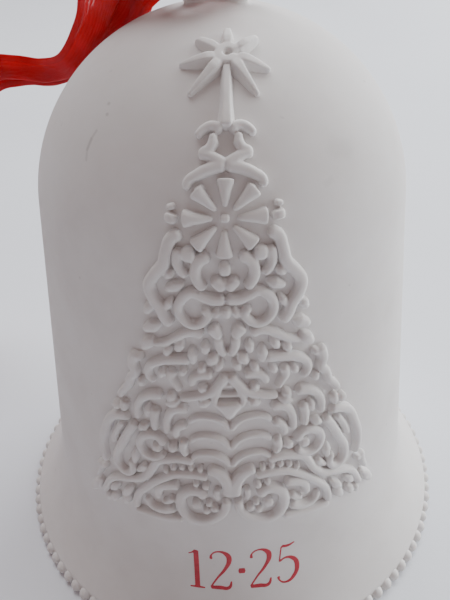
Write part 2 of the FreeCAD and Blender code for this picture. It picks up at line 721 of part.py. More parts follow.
def base_volute(panel, side):
    """Volute, hook and crescent at the tree's foot."""
    outlines = scroll(panel, side([(0.5, 4.6), (0.8, 7.2), (2.8, 8.9)]), 0.9)
    outlines += scroll(panel, side([(0.6, 3.4), (3.6, 0.5), (6.6, 3.4), (5.2, 5.7),
                                    (3.4, 4.8)]), 0.9)
    outlines += scroll(panel, side([(6.4, 5.5), (8.6, 5.5), (9.9, 3.5)]), 0.9)
    outlines += scroll(panel, side([(7.7, 2.4), (9.2, 1.4), (10.8, 2.4)]), 0.8)
    outlines += scroll(panel, side([(5.9, 0.6), (9.2, 0.1), (12.5, 0.2)]), 0.7)
    for point, radius in zip(side([(4.5, 3.4), (2.3, 2.8), (3.4, 2.3), (1.7, 4.0)]),
                             (0.5, 0.45, 0.45, 0.4)):
        outlines.append(disc(panel, point, radius))
    return outlines


raised("tree_base_volutes", relief_blank, pair_of(6.0, 3.5, base_volute))


def base_end(panel, side):
    """Loose leaves at the tree's lower corner."""
    outlines = scroll(panel, side([(18.5, 5.6), (19.3, 3.8), (19.9, 1.6)]), 0.8)
    for stalk, tip, width in (((14.0, 2.4), (15.4, -0.4), 1.1), ((16.2, 1.2), (17.4, -1.3), 0.9),
                              ((18.3, 0.4), (21.4, -1.7), 1.0), ((15.0, 3.6), (15.6, 1.8), 0.7)):
        outlines.append(leaf(panel, *side([stalk, tip]), width))
    return outlines


raised("tree_base_ends", relief_blank, pair_of(17.0, 1.5, base_end))

# ---------------------------------------------------------------------------------------------
# Printed date on the flare
# ---------------------------------------------------------------------------------------------


def numeral_strokes(character, left, base, height):
    """Strokes of one numeral, as point chains in artwork coordinates."""
    width = 0.55 * height
    low, high, right = base, base + height, left + width
    middle = left + width / 2
    chains = {
        "1": [[(middle, low), (middle, (low + high) / 2), (middle, high)],
              [(middle - width / 4, low), (middle, low), (middle + width / 4, low)]],
        "2": [[(left, high - height / 4), (middle, high), (right, high - height / 4),
               (middle + width / 5, base + height * 0.4), (left, low)],
              [(left, low), (middle, low), (right, low)]],
        "5": [[(right, high), (middle, high), (left + width / 6, high)],
              [(left + width / 6, high), (left + width / 8, high - height / 5),
               (left + width / 12, base + height * 0.58)],
              [(left + width / 12, base + height * 0.58), (right, base + height * 0.33),
               (left, base + height * 0.08)]],
        ".": [],
    }
    return chains[character]


DATE = "12.25"
DATE_LEFT = -6.8
DATE_STEPS = {"1": 0.5, "2": 0.66, "5": 0.66, ".": 0.22}
panel = Panel(0.0, -size("date_base") + size("date_height") / 2)
date_rise = -size("date_base")
outlines = []
pen = DATE_LEFT
for character in DATE:
    if character == ".":
        outlines.append(disc(panel, (pen + 0.5, date_rise + size("date_height") / 2), 0.5))
    for chain in numeral_strokes(character, pen, date_rise, size("date_height")):
        outlines += scroll(panel, chain, size("date_stroke"))
    pen += DATE_STEPS[character] * size("date_height")
raised("date_print", print_blank, [(panel, outlines)])

# ---------------------------------------------------------------------------------------------
# Clapper
# ---------------------------------------------------------------------------------------------

# Dab of cement that holds the fixed eye in the crown.
SHANK = "sizes.wire / 2 + sizes.cement_gap"
IN_DOME = "(sizes.dome_radius - sizes.wall)"
clapper_cement = turned_body("clapper_cement", [
    ("sizes.cement_radius", f"sizes.dome_centre + sqrt({IN_DOME} * {IN_DOME}"
     " - sizes.cement_radius * sizes.cement_radius)"),
    (SHANK, f"sizes.dome_centre + sqrt({IN_DOME} * {IN_DOME} - ({SHANK}) * ({SHANK}))",
     *DOME_CENTRE, IN_DOME, 1),
    (SHANK, "shape.crown_inside - sizes.cement_depth"),
    ("sizes.cement_radius * 0.55", "shape.crown_inside - sizes.cement_depth"),
])

# Fixed eye: wire ring facing front, with a shank up into the cement.
eye_ring = feature("Part::Torus", "eye_ring", {
    "Radius1": "sizes.eye_radius", "Radius2": "sizes.wire / 2",
    "Placement.Base.z": "shape.fixed_eye",
}, Placement(Vector(0, 0, 0), UPRIGHT))
eye_shank = feature("Part::Cylinder", "eye_shank", {
    "Radius": "sizes.wire / 2",
    "Height": "sizes.eye_drop - sizes.eye_radius - sizes.shank_gap",
    "Placement.Base.z": "shape.fixed_eye + sizes.eye_radius",
})
clapper_eye = feature("Part::Fuse", "clapper_eye", Base=eye_ring, Tool=eye_shank)

# Link: oblong of wire facing sideways, hung on the fixed eye.
SIDEWAYS = Rotation(Vector(0, 0, 1), 90).multiply(UPRIGHT)
link_parts = []
for name, centre, first in (("link_top_bend", "shape.link_top - sizes.eye_radius", 0),
                            ("link_bottom_bend", "shape.link_bottom + sizes.eye_radius", 180)):
    bend_turn = Rotation(SIDEWAYS).multiply(Rotation(Vector(0, 0, 1), first))
    link_parts.append(feature("Part::Torus", name, {
        "Radius1": "sizes.eye_radius", "Radius2": "sizes.wire / 2",
        "Placement.Base.z": centre,
    }, Placement(Vector(0, 0, 0), bend_turn), Angle3=180))
for side, sign in (("front", "-1"), ("back", "1")):
    link_parts.append(feature("Part::Cylinder", f"link_{side}_leg", {
        "Radius": "sizes.wire / 2",
        "Height": "sizes.link_length - 2 * sizes.eye_radius",
        "Placement.Base.y": f"{sign} * sizes.eye_radius",
        "Placement.Base.z": "shape.link_bottom + sizes.eye_radius",
    }))
clapper_link = feature("Part::MultiFuse", "clapper_link", Shapes=link_parts, Refine=True)

# Clapper wire: an eye facing front, hung on the link, and a shank through the ball.
hook_ring = feature("Part::Torus", "hook_ring", {
    "Radius1": "sizes.eye_radius", "Radius2": "sizes.wire / 2",
    "Placement.Base.z": "shape.clapper_top - sizes.eye_radius",
}, Placement(Vector(0, 0, 0), UPRIGHT))
SHANK_FOOT = "sizes.ball_height - sizes.ball_radius"
hook_shank = feature("Part::Cylinder", "hook_shank", {
    "Radius": "sizes.wire / 2",
    "Height": f"shape.clapper_top - 2 * sizes.eye_radius - ({SHANK_FOOT})",
    "Placement.Base.z": SHANK_FOOT,
})
hook_head = feature("Part::Cone", "hook_head", {
    "Radius1": "sizes.head_radius / 2", "Radius2": "sizes.head_radius",
    "Height": "sizes.head_length",
    "Placement.Base.z": f"{SHANK_FOOT} - sizes.head_length + sizes.head_sink",
})
clapper_wire = feature("Part::MultiFuse", "clapper_wire", Shapes=[hook_ring, hook_shank, hook_head],
                       Refine=True)

# Ball: fired porcelain bead with a bore for the wire and a recess for the wire's flattened end.
ball_blank = feature("Part::Sphere", "ball_blank", {
    "Radius": "sizes.ball_radius", "Placement.Base.z": "sizes.ball_height",
})
ball_bore = feature("Part::Cylinder", "ball_bore", {
    "Radius": "sizes.wire / 2 + sizes.bore_gap", "Height": "4 * sizes.ball_radius",
    "Placement.Base.z": "sizes.ball_height - 2 * sizes.ball_radius",
})
ball_recess = feature("Part::Cylinder", "ball_recess", {
    "Radius": "sizes.head_radius + sizes.bore_gap", "Height": "sizes.head_length",
    "Placement.Base.z": f"{SHANK_FOOT} - sizes.head_length + sizes.head_sink",
})
ball_tools = feature("Part::Fuse", "ball_tools", Base=ball_bore, Tool=ball_recess)
clapper_ball = feature("Part::Cut", "clapper_ball", Base=ball_blank, Tool=ball_tools)

# ---------------------------------------------------------------------------------------------
# Ribbon: the space that its strands, knot and tails take
# ---------------------------------------------------------------------------------------------

RIBBON_TURN = Rotation(Vector(0, 0, 1), size("ribbon_bearing"))
LUG_Z = derived("lug_centre")
LOOP_SIDE = size("lug_radius") + size("lug_thickness") / 2 + size("ribbon_play")
LOOP_FACE = size("lug_thickness") / 2 + size("ribbon_play")
STRAND_START = LOOP_SIDE + size("ribbon_fan")
KNOT_TOP = size("floor_gap") + size("knot_height")

# Side view of each strand, as its shares of the way out to the knot and of the way down to it.
BACK_STRAND = [(0, 0), (0.10, 0.05), (0.25, 0.12), (0.36, 0.19), (0.50, 0.24), (0.65, 0.31),
               (0.80, 0.44), (0.90, 0.61), (0.97, 0.80), (1, 1)]
FRONT_STRAND = [(0, 0), (0.11, 0.03), (0.26, 0.10), (0.37, 0.16), (0.50, 0.21), (0.66, 0.28),
                (0.82, 0.41), (0.93, 0.58), (0.985, 0.78), (1, 1)]


def strand(label, shares, knot_share, rise):
    """Flat strand that follows a bent line in side view, lying level across its width."""
    reach = size("knot_reach") + knot_share * size("knot_length") - STRAND_START
    start = LUG_Z + rise * size("strand_rise")
    drop = start - KNOT_TOP - size("knot_play")
    points = [Vector(STRAND_START + reach * out, 0, start - drop * down) for out, down in shares]
    upper, lower = [], []
    for index, centre in enumerate(points):
        along = points[min(index + 1, len(points) - 1)] - points[max(index - 1, 0)]
        along.normalize()
        across = Vector(-along.z, 0, along.x) * size("ribbon_bulk") / 2
        upper.append(centre + across)
        lower.append(centre - across)
    side_view = DOC.addObject("Part::Feature", label + "_side_view")
    side_view.Shape = Part.Face(Part.makePolygon(upper + lower[::-1] + upper[:1]))
    return feature("Part::Extrusion", label, {
        "LengthFwd": "sizes.ribbon_width / 2", "LengthRev": "sizes.ribbon_width / 2",
        "Placement.Rotation.Angle": "sizes.ribbon_bearing",
    }, Base=side_view, DirMode="Custom", Dir=Vector(0, 1, 0), Solid=True)


ribbon_back_strand = strand("ribbon_back_strand", BACK_STRAND, 0.3, -1)
ribbon_front_strand = strand("ribbon_front_strand", FRONT_STRAND, 0.7, 1)

# Gathered ribbon: through the loop's hole, round its left side and out to the strands, in plan.
throat = size("ribbon_throat")
half_width = size("ribbon_width") / 2
near_corner, far_corner = (RIBBON_TURN.multVec(Vector(STRAND_START - size("ribbon_play"), side, 0))
                           for side in (half_width, -half_width))
gather_outline = Part.makePolygon([Vector(across, depth, 0) for across, depth in (
    (throat / 2, -LOOP_FACE - throat), (throat / 2, LOOP_FACE + throat),
    (far_corner.x, far_corner.y), (near_corner.x, near_corner.y),
    (-LOOP_SIDE - throat, -LOOP_FACE - throat), (throat / 2, -LOOP_FACE - throat))])
gather_hole = Part.makePolygon([Vector(across, depth, 0) for across, depth in (
    (-throat / 2, -LOOP_FACE), (-throat / 2, LOOP_FACE), (-LOOP_SIDE, LOOP_FACE),
    (-LOOP_SIDE, -LOOP_FACE), (-throat / 2, -LOOP_FACE))])
gather_drawing = DOC.addObject("Part::Feature", "ribbon_gather_plan")
gather_drawing.Shape = Part.Face(gather_outline).cut(Part.Face(gather_hole))
ribbon_gather = feature("Part::Extrusion", "ribbon_gather", {
    "LengthFwd": "sizes.ribbon_throat / 2", "LengthRev": "sizes.ribbon_throat / 2",
    "Placement.Base.z": "shape.lug_centre",
}, Base=gather_drawing, DirMode="Custom", Dir=Vector(0, 0, 1), Solid=True)

# Knot and tails, which lie on the surface that the bell stands on.
KNOT_WIDTH = 0.6 * size("ribbon_width")
TAIL_TURNS = (-14, 16)
knot_corner = Vector(size("knot_reach"), -KNOT_WIDTH / 2, size("floor_gap"))
ribbon_knot = feature("Part::Box", "ribbon_knot", {
    "Length": "sizes.knot_length", "Height": "sizes.knot_height",
}, Placement(RIBBON_TURN.multVec(knot_corner), RIBBON_TURN), Width=KNOT_WIDTH)
tails = []
for index, turn in enumerate(TAIL_TURNS):
    tail_turn = Rotation(Vector(0, 0, 1), size("ribbon_bearing") + turn)
    corner = RIBBON_TURN.multVec(Vector(size("knot_reach") + size("knot_length"), 0, 0))
    corner += tail_turn.multVec(Vector(0, -half_width, 0))
    corner.z = size("floor_gap") + index * size("tail_step")
    tails.append(feature("Part::Box", f"ribbon_tail_{index + 1}", {
        "Length": "sizes.tail_length", "Width": "sizes.ribbon_width", "Height": "sizes.tail_bulk",
    }, Placement(corner, tail_turn)))

# ---------------------------------------------------------------------------------------------
# Check and export
# ---------------------------------------------------------------------------------------------

DOC.recompute()
for item in DOC.Objects:
    if "Invalid" in item.State or "Error" in item.State:
        raise RuntimeError(f"{item.Label}: {item.State}")

PARTS = [bell_shell, bead_body, hanging_loop, *RELIEFS, clapper_cement, clapper_eye, clapper_link,
         clapper_wire, clapper_ball, ribbon_gather, ribbon_back_strand, ribbon_front_strand,
         ribbon_knot, *tails]
os.makedirs("parts", exist_ok=True)
for part in PARTS:
    solid = part.Shape
    if solid.isNull() or not solid.isValid() or solid.Volume <= 0:
        raise RuntimeError(f"{part.Label}: bad shape")
for part in PARTS:
    part.Shape.exportStep(f"parts/{part.Label}.step")
    print(f"{part.Label}: {len(part.Shape.Solids)} solids, {part.Shape.Volume:.1f} mm3")
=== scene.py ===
import math

import bpy
from mathutils import Matrix, Vector, noise


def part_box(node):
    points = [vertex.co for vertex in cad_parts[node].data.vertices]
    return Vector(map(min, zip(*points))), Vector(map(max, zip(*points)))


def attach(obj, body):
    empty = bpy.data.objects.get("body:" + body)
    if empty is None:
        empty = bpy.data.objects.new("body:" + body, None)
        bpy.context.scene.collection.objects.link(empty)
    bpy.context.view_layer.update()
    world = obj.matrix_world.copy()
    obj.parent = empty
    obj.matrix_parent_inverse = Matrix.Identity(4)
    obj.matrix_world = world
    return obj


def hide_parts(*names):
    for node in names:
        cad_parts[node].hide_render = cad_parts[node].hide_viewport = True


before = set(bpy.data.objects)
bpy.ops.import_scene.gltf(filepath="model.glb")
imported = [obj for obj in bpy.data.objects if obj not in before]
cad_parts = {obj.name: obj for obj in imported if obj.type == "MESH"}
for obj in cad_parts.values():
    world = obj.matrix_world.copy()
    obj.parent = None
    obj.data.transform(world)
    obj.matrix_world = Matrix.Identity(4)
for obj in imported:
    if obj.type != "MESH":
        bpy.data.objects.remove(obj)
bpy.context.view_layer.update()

# Christmas bell ornament in unglazed porcelain. Everything is in metres in the frame's own axes:
# +Z up, the origin at the centre of the rim's resting plane, the tree on the -Y side.
MM = 0.001

# ---------------------------------------------------------------------------------------------
# Bell. Slip-cast porcelain: one open shell drained from a plaster mould, with an even wall, the
# dome, side and flare in one smooth line, and the lip rubbed round before firing.
# ---------------------------------------------------------------------------------------------

shell_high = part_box("bell_shell")[1]
LIP_RADIUS = shell_high[0]
CROWN = shell_high[2]
DOME_RADIUS = 23.2 * MM
DOME_CENTRE = CROWN - DOME_RADIUS
TAPER = math.radians(5.77)
FLARE_HEIGHT = 14.1 * MM
LIP_HEIGHT = 1.9 * MM
LIP_ROUND = 0.45 * MM
WALL = 2.2 * MM
SHELL_TURNS = 256

side_top = (DOME_RADIUS * math.cos(TAPER), DOME_CENTRE + DOME_RADIUS * math.sin(TAPER))
waist_radius = side_top[0] + (side_top[1] - FLARE_HEIGHT) * math.tan(TAPER)
flare_turn = 2 * math.atan2(LIP_RADIUS - waist_radius, FLARE_HEIGHT - LIP_HEIGHT) - TAPER
flare_radius = (FLARE_HEIGHT - LIP_HEIGHT) / (math.sin(flare_turn) - math.sin(TAPER))
flare_centre = (waist_radius + flare_radius * math.cos(TAPER),
                FLARE_HEIGHT + flare_radius * math.sin(TAPER))


def bell_line(inset, steps=48):
    """Radius and height down the bell from crown to lip, inset from its outside."""
    dome, flare = DOME_RADIUS - inset, flare_radius + inset
    line = []
    for step in range(steps + 1):
        lift = math.pi / 2 - (math.pi / 2 - TAPER) * step / steps
        line.append((dome * math.cos(lift), DOME_CENTRE + dome * math.sin(lift)))
    for step in range(steps + 1):
        turn = TAPER + (flare_turn - TAPER) * step / steps
        line.append((flare_centre[0] - flare * math.cos(turn),
                     flare_centre[1] - flare * math.sin(turn)))
    return line


def rounded(corner, start, radius, steps=6):
    """Quarter round in a square corner of the turned outline, from its start direction."""
    points = []
    for step in range(steps + 1):
        turn = math.radians(start - 90 * step / steps)
        points.append((corner[0] + radius * math.cos(turn), corner[1] + radius * math.sin(turn)))
    return points


def turned(name, outline, turns):
    """Closed solid turned about Z from an outline that starts and ends on the axis."""
    points, rows, faces = [], [], []
    for radius, height in outline:
        if radius < 1e-7:
            rows.append([len(points)] * turns)
            points.append((0, 0, height))
            continue
        rows.append(list(range(len(points), len(points) + turns)))
        for turn in range(turns):
            angle = 2 * math.pi * turn / turns
            points.append((radius * math.cos(angle), radius * math.sin(angle), height))
    for upper, lower in zip(rows, rows[1:]):
        for turn in range(turns):
            following = (turn + 1) % turns
            face = [upper[turn], lower[turn], lower[following], upper[following]]
            faces.append(list(dict.fromkeys(face)))
    mesh = bpy.data.meshes.new(name)
    mesh.from_pydata(points, [], faces)
    mesh.polygons.foreach_set("use_smooth", [True] * len(mesh.polygons))
    return mesh


def placed(name, mesh):
    """Object that carries a mesh, at the origin."""
    piece = bpy.data.objects.new(name, mesh)
    bpy.context.scene.collection.objects.link(piece)
    return piece


inside_foot = flare_centre[0] - math.sqrt((flare_radius + WALL) ** 2 - flare_centre[1] ** 2)
outside = bell_line(0.0)
inside = [point for point in bell_line(WALL) if point[1] > LIP_ROUND]
outline = outside
outline += rounded((LIP_RADIUS - LIP_ROUND, LIP_ROUND), 0, LIP_ROUND)
outline += rounded((inside_foot + LIP_ROUND, LIP_ROUND), 270, LIP_ROUND)
outline += inside[::-1]
shell = placed("porcelain_bell", turned("porcelain_bell", outline, SHELL_TURNS))


def join(tree, value, socket):
    """Links a socket, or sets its number."""
    if isinstance(value, bpy.types.NodeSocket):
        tree.links.new(value, socket)
    else:
        socket.default_value = value


def add(tree, kind, inputs=(), **settings):
    """Adds a node with its settings and its inputs, given by name or place."""
    node = tree.nodes.new(kind)
    for key, value in settings.items():
        setattr(node, key, value)
    for key, value in dict(inputs).items():
        join(tree, value, node.inputs[key])
    return node


def sums(tree, operation, *values):
    """Result of one arithmetic node."""
    return add(tree, "ShaderNodeMath", enumerate(values), operation=operation).outputs[0]


def ramp(tree, value, stops):
    """Colour ramp with stops of (place, colour)."""
    node = add(tree, "ShaderNodeValToRGB", {"Fac": value})
    points = node.color_ramp.elements
    for point, (place, colour) in zip(points, (stops[0], stops[-1])):
        point.position = place
        point.color = (*colour, 1)
    for place, colour in stops[1:-1]:
        points.new(place).color = (*colour, 1)
    return node.outputs["Color"]


def new_material(name):
    """Empty node material with its tree, shader and object coordinates."""
    material = bpy.data.materials.new(name)
    material.use_nodes = True
    tree = material.node_tree
    shader = tree.nodes["Principled BSDF"]
    place = add(tree, "ShaderNodeTexCoord").outputs["Object"]
    return material, tree, shader, place


def texture(tree, place, scale, detail=2.0, rough=0.5):
    """Noise value over object coordinates; scale is in grains per metre."""
    node = add(tree, "ShaderNodeTexNoise",
               {"Vector": place, "Scale": scale, "Detail": detail, "Roughness": rough})
    return node.outputs["Fac"]


def nearest(tree, place, start, end):
    """Distance of a point from a short straight line."""
    start, way = Vector(start), Vector(end) - Vector(start)
    offset = add(tree, "ShaderNodeVectorMath", {0: place, 1: start}, operation="SUBTRACT")
    along = add(tree, "ShaderNodeVectorMath", {0: offset.outputs[0], 1: way / way.length_squared},
                operation="DOT_PRODUCT")
    share = add(tree, "ShaderNodeClamp", {"Value": along.outputs["Value"]})
    foot = add(tree, "ShaderNodeVectorMath", {0: way, "Scale": share.outputs[0]},
               operation="SCALE")
    away = add(tree, "ShaderNodeVectorMath", {0: offset.outputs[0], 1: foot.outputs[0]},
               operation="DISTANCE")
    return away.outputs["Value"]


def bisque(name, marks=()):
    """Unglazed porcelain: chalky white, faintly mottled, with a fine grain and pin specks.

    marks lists (start, end, radius, strength) for rubbed spots and scratches with soft edges.
    """
    material, tree, shader, place = new_material(name)
    mottle = texture(tree, place, 90, 4, 0.6)
    colour = ramp(tree, mottle, [(0.3, (0.70, 0.675, 0.665)), (0.5, (0.745, 0.725, 0.715)),
                                 (0.7, (0.775, 0.76, 0.755))])
    specks = texture(tree, place, 900, 1, 0.3)
    dark = add(tree, "ShaderNodeMapRange",
               {0: specks, 1: 0.80, 2: 0.86, 3: 0.0, 4: 0.22}, clamp=True).outputs[0]
    for start, end, radius, strength in marks:
        spot = add(tree, "ShaderNodeMapRange",
                   {0: nearest(tree, place, start, end), 1: radius * 0.2, 2: radius,
                    3: strength, 4: 0.0}, clamp=True, interpolation_type="SMOOTHSTEP")
        dark = sums(tree, "MAXIMUM", dark, spot.outputs[0])
    mixed = add(tree, "ShaderNodeMix", {0: dark, 6: colour, 7: (0.16, 0.14, 0.13, 1)},
                data_type="RGBA").outputs[2]
    join(tree, mixed, shader.inputs["Base Color"])
    rough = add(tree, "ShaderNodeMapRange",
                {0: texture(tree, place, 500, 3), 3: 0.72, 4: 0.92}).outputs[0]
    join(tree, rough, shader.inputs["Roughness"])
    grain = texture(tree, place, 6000, 3, 0.6)
    cast = texture(tree, place, 350, 3, 0.5)
    height = sums(tree, "ADD", sums(tree, "MULTIPLY", grain, 0.35), cast)
    bump = add(tree, "ShaderNodeBump",
               {"Height": height, "Strength": 0.35, "Distance": 0.05 * MM})
    join(tree, bump.outputs["Normal"], shader.inputs["Normal"])
    shader.inputs["Subsurface Weight"].default_value = 0.08
    shader.inputs["Subsurface Radius"].default_value = (1.0, 0.8, 0.6)
    shader.inputs["Subsurface Scale"].default_value = 0.8 * MM
    shader.inputs["Specular IOR Level"].default_value = 0.35
    return material


def on_bell(across, run):
    """Point of the bell's outside: across from the front line, a run down from the crown."""
    line = bell_line(0.0, 96)
    for (r0, z0), (r1, z1) in zip(line, line[1:]):
        length = math.hypot(r1 - r0, z1 - z0)
        if run <= length:
            share = run / length
            radius, height = r0 + (r1 - r0) * share, z0 + (z1 - z0) * share
            turn = across / radius
            return Vector((radius * math.sin(turn), -radius * math.cos(turn), height))
        run -= length
    raise ValueError("past the lip")


# Rubbed spots and a short curved scratch on the left of the dome, a grey smudge on its right.
SPOTS = [(-12.3, 18.3, 0.3, 0.28), (-12.4, 19.4, 0.3, 0.28), (-12.9, 15.0, 0.3, 0.1),
         (-7.4, 59.3, 0.26, 0.6), (-3.5, 59.8, 0.26, 0.6), (31.0, 29.0, 0.4, 0.2),
         (31.5, 33.0, 0.35, 0.2), (31.0, 60.0, 0.4, 0.2), (-31.0, 47.0, 0.4, 0.2)]
STREAKS = [((-13.8, 21.3), (-14.5, 22.2), 0.26, 0.2), ((-14.5, 22.2), (-15.1, 23.4), 0.3, 0.3),
           ((-15.1, 23.4), (-15.2, 24.4), 0.26, 0.18), ((12.2, 23.4), (13.6, 23.8), 1.6, 0.1),
           ((10.9, 26.4), (11.5, 26.2), 0.6, 0.06)]
marks = [(on_bell(across * MM, run * MM), on_bell((across + 0.05) * MM, run * MM), radius * MM,
          strength) for across, run, radius, strength in SPOTS]
marks += [(on_bell(start[0] * MM, start[1] * MM), on_bell(end[0] * MM, end[1] * MM), radius * MM,
           strength) for start, end, radius, strength in STREAKS]
shell.data.materials.append(bisque("bisque_porcelain_bell", marks))
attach(shell, "bell")
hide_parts("bell_shell")

# ---------------------------------------------------------------------------------------------
# Beads round the lip. Pressed with the shell: a row of half balls standing on the lip's edge,
# each a little different where the mould has worn.
# ---------------------------------------------------------------------------------------------

bead_low, bead_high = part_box("rim_beading")
BEAD_RADIUS = (bead_high[2] - bead_low[2]) / 2
BEAD_PITCH = 2.0 * MM
BEADS = round(2 * math.pi * LIP_RADIUS / BEAD_PITCH)
relief_bisque = bisque("bisque_porcelain_relief")


def new_tree(name, inputs):
    """Geometry Nodes tree with a geometry in and out and the named inputs."""
    tree = bpy.data.node_groups.new(name, "GeometryNodeTree")
    tree.interface.new_socket("Geometry", in_out="INPUT", socket_type="NodeSocketGeometry")
    tree.interface.new_socket("Geometry", in_out="OUTPUT", socket_type="NodeSocketGeometry")
    for label, kind in inputs.items():
        tree.interface.new_socket(label, in_out="INPUT", socket_type="NodeSocket" + kind)
    return tree, add(tree, "NodeGroupInput").outputs


def end_tree(tree, geometry, material):
    """Ends a tree in Realize Instances and Set Material."""
    real = add(tree, "GeometryNodeRealizeInstances", {"Geometry": geometry})
    smooth = add(tree, "GeometryNodeSetShadeSmooth", {"Geometry": real.outputs[0]})
    finish = add(tree, "GeometryNodeSetMaterial",
                 {"Geometry": smooth.outputs[0], "Material": material})
    add(tree, "NodeGroupOutput", {0: finish.outputs[0]})


def run_tree(piece, tree, values):
    """Puts a tree on an object as a modifier, with its inputs set by identifier."""
    modifier = piece.modifiers.new(tree.name, "NODES")
    modifier.node_group = tree
    for item in tree.interface.items_tree:
        if item.item_type == "SOCKET" and item.in_out == "INPUT" and item.name in values:
            modifier[item.identifier] = values[item.name]


def plain(piece):
    """Replaces an object's mesh with what its modifiers make, and removes them."""
    evaluated = piece.evaluated_get(bpy.context.evaluated_depsgraph_get())
    mesh = bpy.data.meshes.new_from_object(evaluated)
    piece.modifiers.clear()
    mesh.name = piece.name
    piece.data = mesh
    return piece


tree, given = new_tree("rim_beads", {"Count": "Int", "Ring Radius": "Float", "Bead": "Float",
                                     "Material": "Material"})
ring = add(tree, "GeometryNodeMeshCircle", {"Vertices": given["Count"],
                                            "Radius": given["Ring Radius"]})
ball = add(tree, "GeometryNodeMeshUVSphere", {"Segments": 14, "Rings": 9, "Radius": given["Bead"]})
uneven = add(tree, "FunctionNodeRandomValue", {2: 0.94, 3: 1.03, "Seed": 12}, data_type="FLOAT")
beads = add(tree, "GeometryNodeInstanceOnPoints",
            {"Points": ring.outputs["Mesh"], "Instance": ball.outputs["Mesh"],
             "Scale": uneven.outputs[1]})
end_tree(tree, beads.outputs[0], given["Material"])
rim_beads = placed("rim_bead_row", bpy.data.meshes.new("rim_bead_row"))
run_tree(rim_beads, tree, {"Count": BEADS, "Ring Radius": LIP_RADIUS, "Bead": BEAD_RADIUS,
                           "Material": relief_bisque})
plain(rim_beads)
rim_beads.data.transform(Matrix.Translation((0, 0, BEAD_RADIUS)))
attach(rim_beads, "bell")
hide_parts("rim_beading")

# ---------------------------------------------------------------------------------------------
# Raised tree. Carved as rounded strokes in the mould's inside, so it comes off the bell as soft
# ridges that run into each other. Each stroke is drawn flat, in millimetres across from the
# centre line and up from the tree's foot, then fused, softened and laid on the bell.
# ---------------------------------------------------------------------------------------------

FOOT_GAP = 18.95 * MM
RELIEF_HEIGHT = 1.1 * MM
STAR_HEIGHT = 1.75 * MM
STROKE_SINK = 0.25 * MM
FUSE_GRAIN = 0.1 * MM

outer_line = bell_line(0.0, 96)
lip_run = sum(math.dist(a, b) for a, b in zip(outer_line, outer_line[1:]))
TREE_FOOT = lip_run - FOOT_GAP

meridian_curve = bpy.data.curves.new("bell_meridian", "CURVE")
meridian_curve.dimensions = "3D"
spline = meridian_curve.splines.new("POLY")
spline.points.add(len(outer_line) - 1)
for point, (radius, height) in zip(spline.points, outer_line):
    point.co = (radius, 0, height, 1)
meridian = placed("bell_meridian", meridian_curve)

# Strokes to ridges: a tube along each stroke, with ends rounded off and its top held to a height.
tree, given = new_tree("raised_strokes", {"Strokes": "Object", "Sides": "Int", "Height": "Float",
                                          "Steepness": "Float", "End": "Float"})
strokes = add(tree, "GeometryNodeObjectInfo", {"Object": given["Strokes"]}).outputs["Geometry"]
fine = add(tree, "GeometryNodeResampleCurve", {"Curve": strokes, "Length": 0.12 * MM},
           mode="LENGTH").outputs[0]
along = add(tree, "GeometryNodeSplineParameter").outputs["Length"]
whole = add(tree, "GeometryNodeSplineLength").outputs["Length"]
to_end = sums(tree, "MINIMUM", along, sums(tree, "SUBTRACT", whole, along))
half_width = add(tree, "GeometryNodeInputRadius").outputs[0]
room = sums(tree, "MAXIMUM", sums(tree, "MINIMUM", half_width, given["End"]), 0.02 * MM)
into = sums(tree, "SUBTRACT", 1.0, sums(tree, "MINIMUM", sums(tree, "DIVIDE", to_end, room), 1.0))
closing = sums(tree, "SQRT", sums(tree, "SUBTRACT", 1.0, sums(tree, "MULTIPLY", into, into)))
tube_radius = sums(tree, "MAXIMUM", sums(tree, "MULTIPLY", half_width, closing), 0.01 * MM)
level = add(tree, "GeometryNodeSetCurveNormal", {"Curve": fine}, mode="Z_UP").outputs[0]
section = add(tree, "GeometryNodeCurvePrimitiveCircle",
              {"Resolution": given["Sides"], "Radius": 1.0}).outputs["Curve"]
kept = add(tree, "GeometryNodeCaptureAttribute", {"Geometry": level}, domain="POINT")
kept.capture_items.new("FLOAT", "Radius")
join(tree, tube_radius, kept.inputs["Radius"])
tubes = add(tree, "GeometryNodeCurveToMesh",
            {"Curve": kept.outputs[0], "Profile Curve": section, "Scale": kept.outputs["Radius"],
             "Fill Caps": True}).outputs[0]
spot = add(tree, "ShaderNodeSeparateXYZ", {0: add(tree, "GeometryNodeInputPosition").outputs[0]})
steep = sums(tree, "DIVIDE", sums(tree, "MULTIPLY", spot.outputs["Z"], given["Steepness"]),
             given["Height"])
lifted = sums(tree, "MULTIPLY", sums(tree, "TANH", steep), given["Height"])
spot = add(tree, "ShaderNodeCombineXYZ",
           {"X": spot.outputs["X"], "Y": spot.outputs["Y"], "Z": lifted})
ridges = add(tree, "GeometryNodeSetPosition", {"Geometry": tubes, "Position": spot.outputs[0]})
add(tree, "NodeGroupOutput", {0: ridges.outputs[0]})
stroke_tree = tree

# Flat to round: each point goes down the bell's meridian by its run and round it by its across.
tree, given = new_tree("laid_on_bell", {"Meridian": "Object", "Foot Run": "Float",
                                        "Flatten": "Float", "Sink": "Float",
                                        "Material": "Material"})
spot = add(tree, "ShaderNodeSeparateXYZ", {0: add(tree, "GeometryNodeInputPosition").outputs[0]})
run = sums(tree, "SUBTRACT", given["Foot Run"], spot.outputs["Y"])
lift = sums(tree, "MULTIPLY", spot.outputs["Z"], given["Flatten"])
lift = sums(tree, "MAXIMUM", lift, sums(tree, "MULTIPLY", given["Sink"], -1.0))
guide = add(tree, "GeometryNodeObjectInfo", {"Object": given["Meridian"]}).outputs["Geometry"]
found = add(tree, "GeometryNodeSampleCurve", {"Curves": guide, "Length": run}, mode="LENGTH")
base = add(tree, "ShaderNodeSeparateXYZ", {0: found.outputs["Position"]})
lean = add(tree, "ShaderNodeSeparateXYZ", {0: found.outputs["Tangent"]})
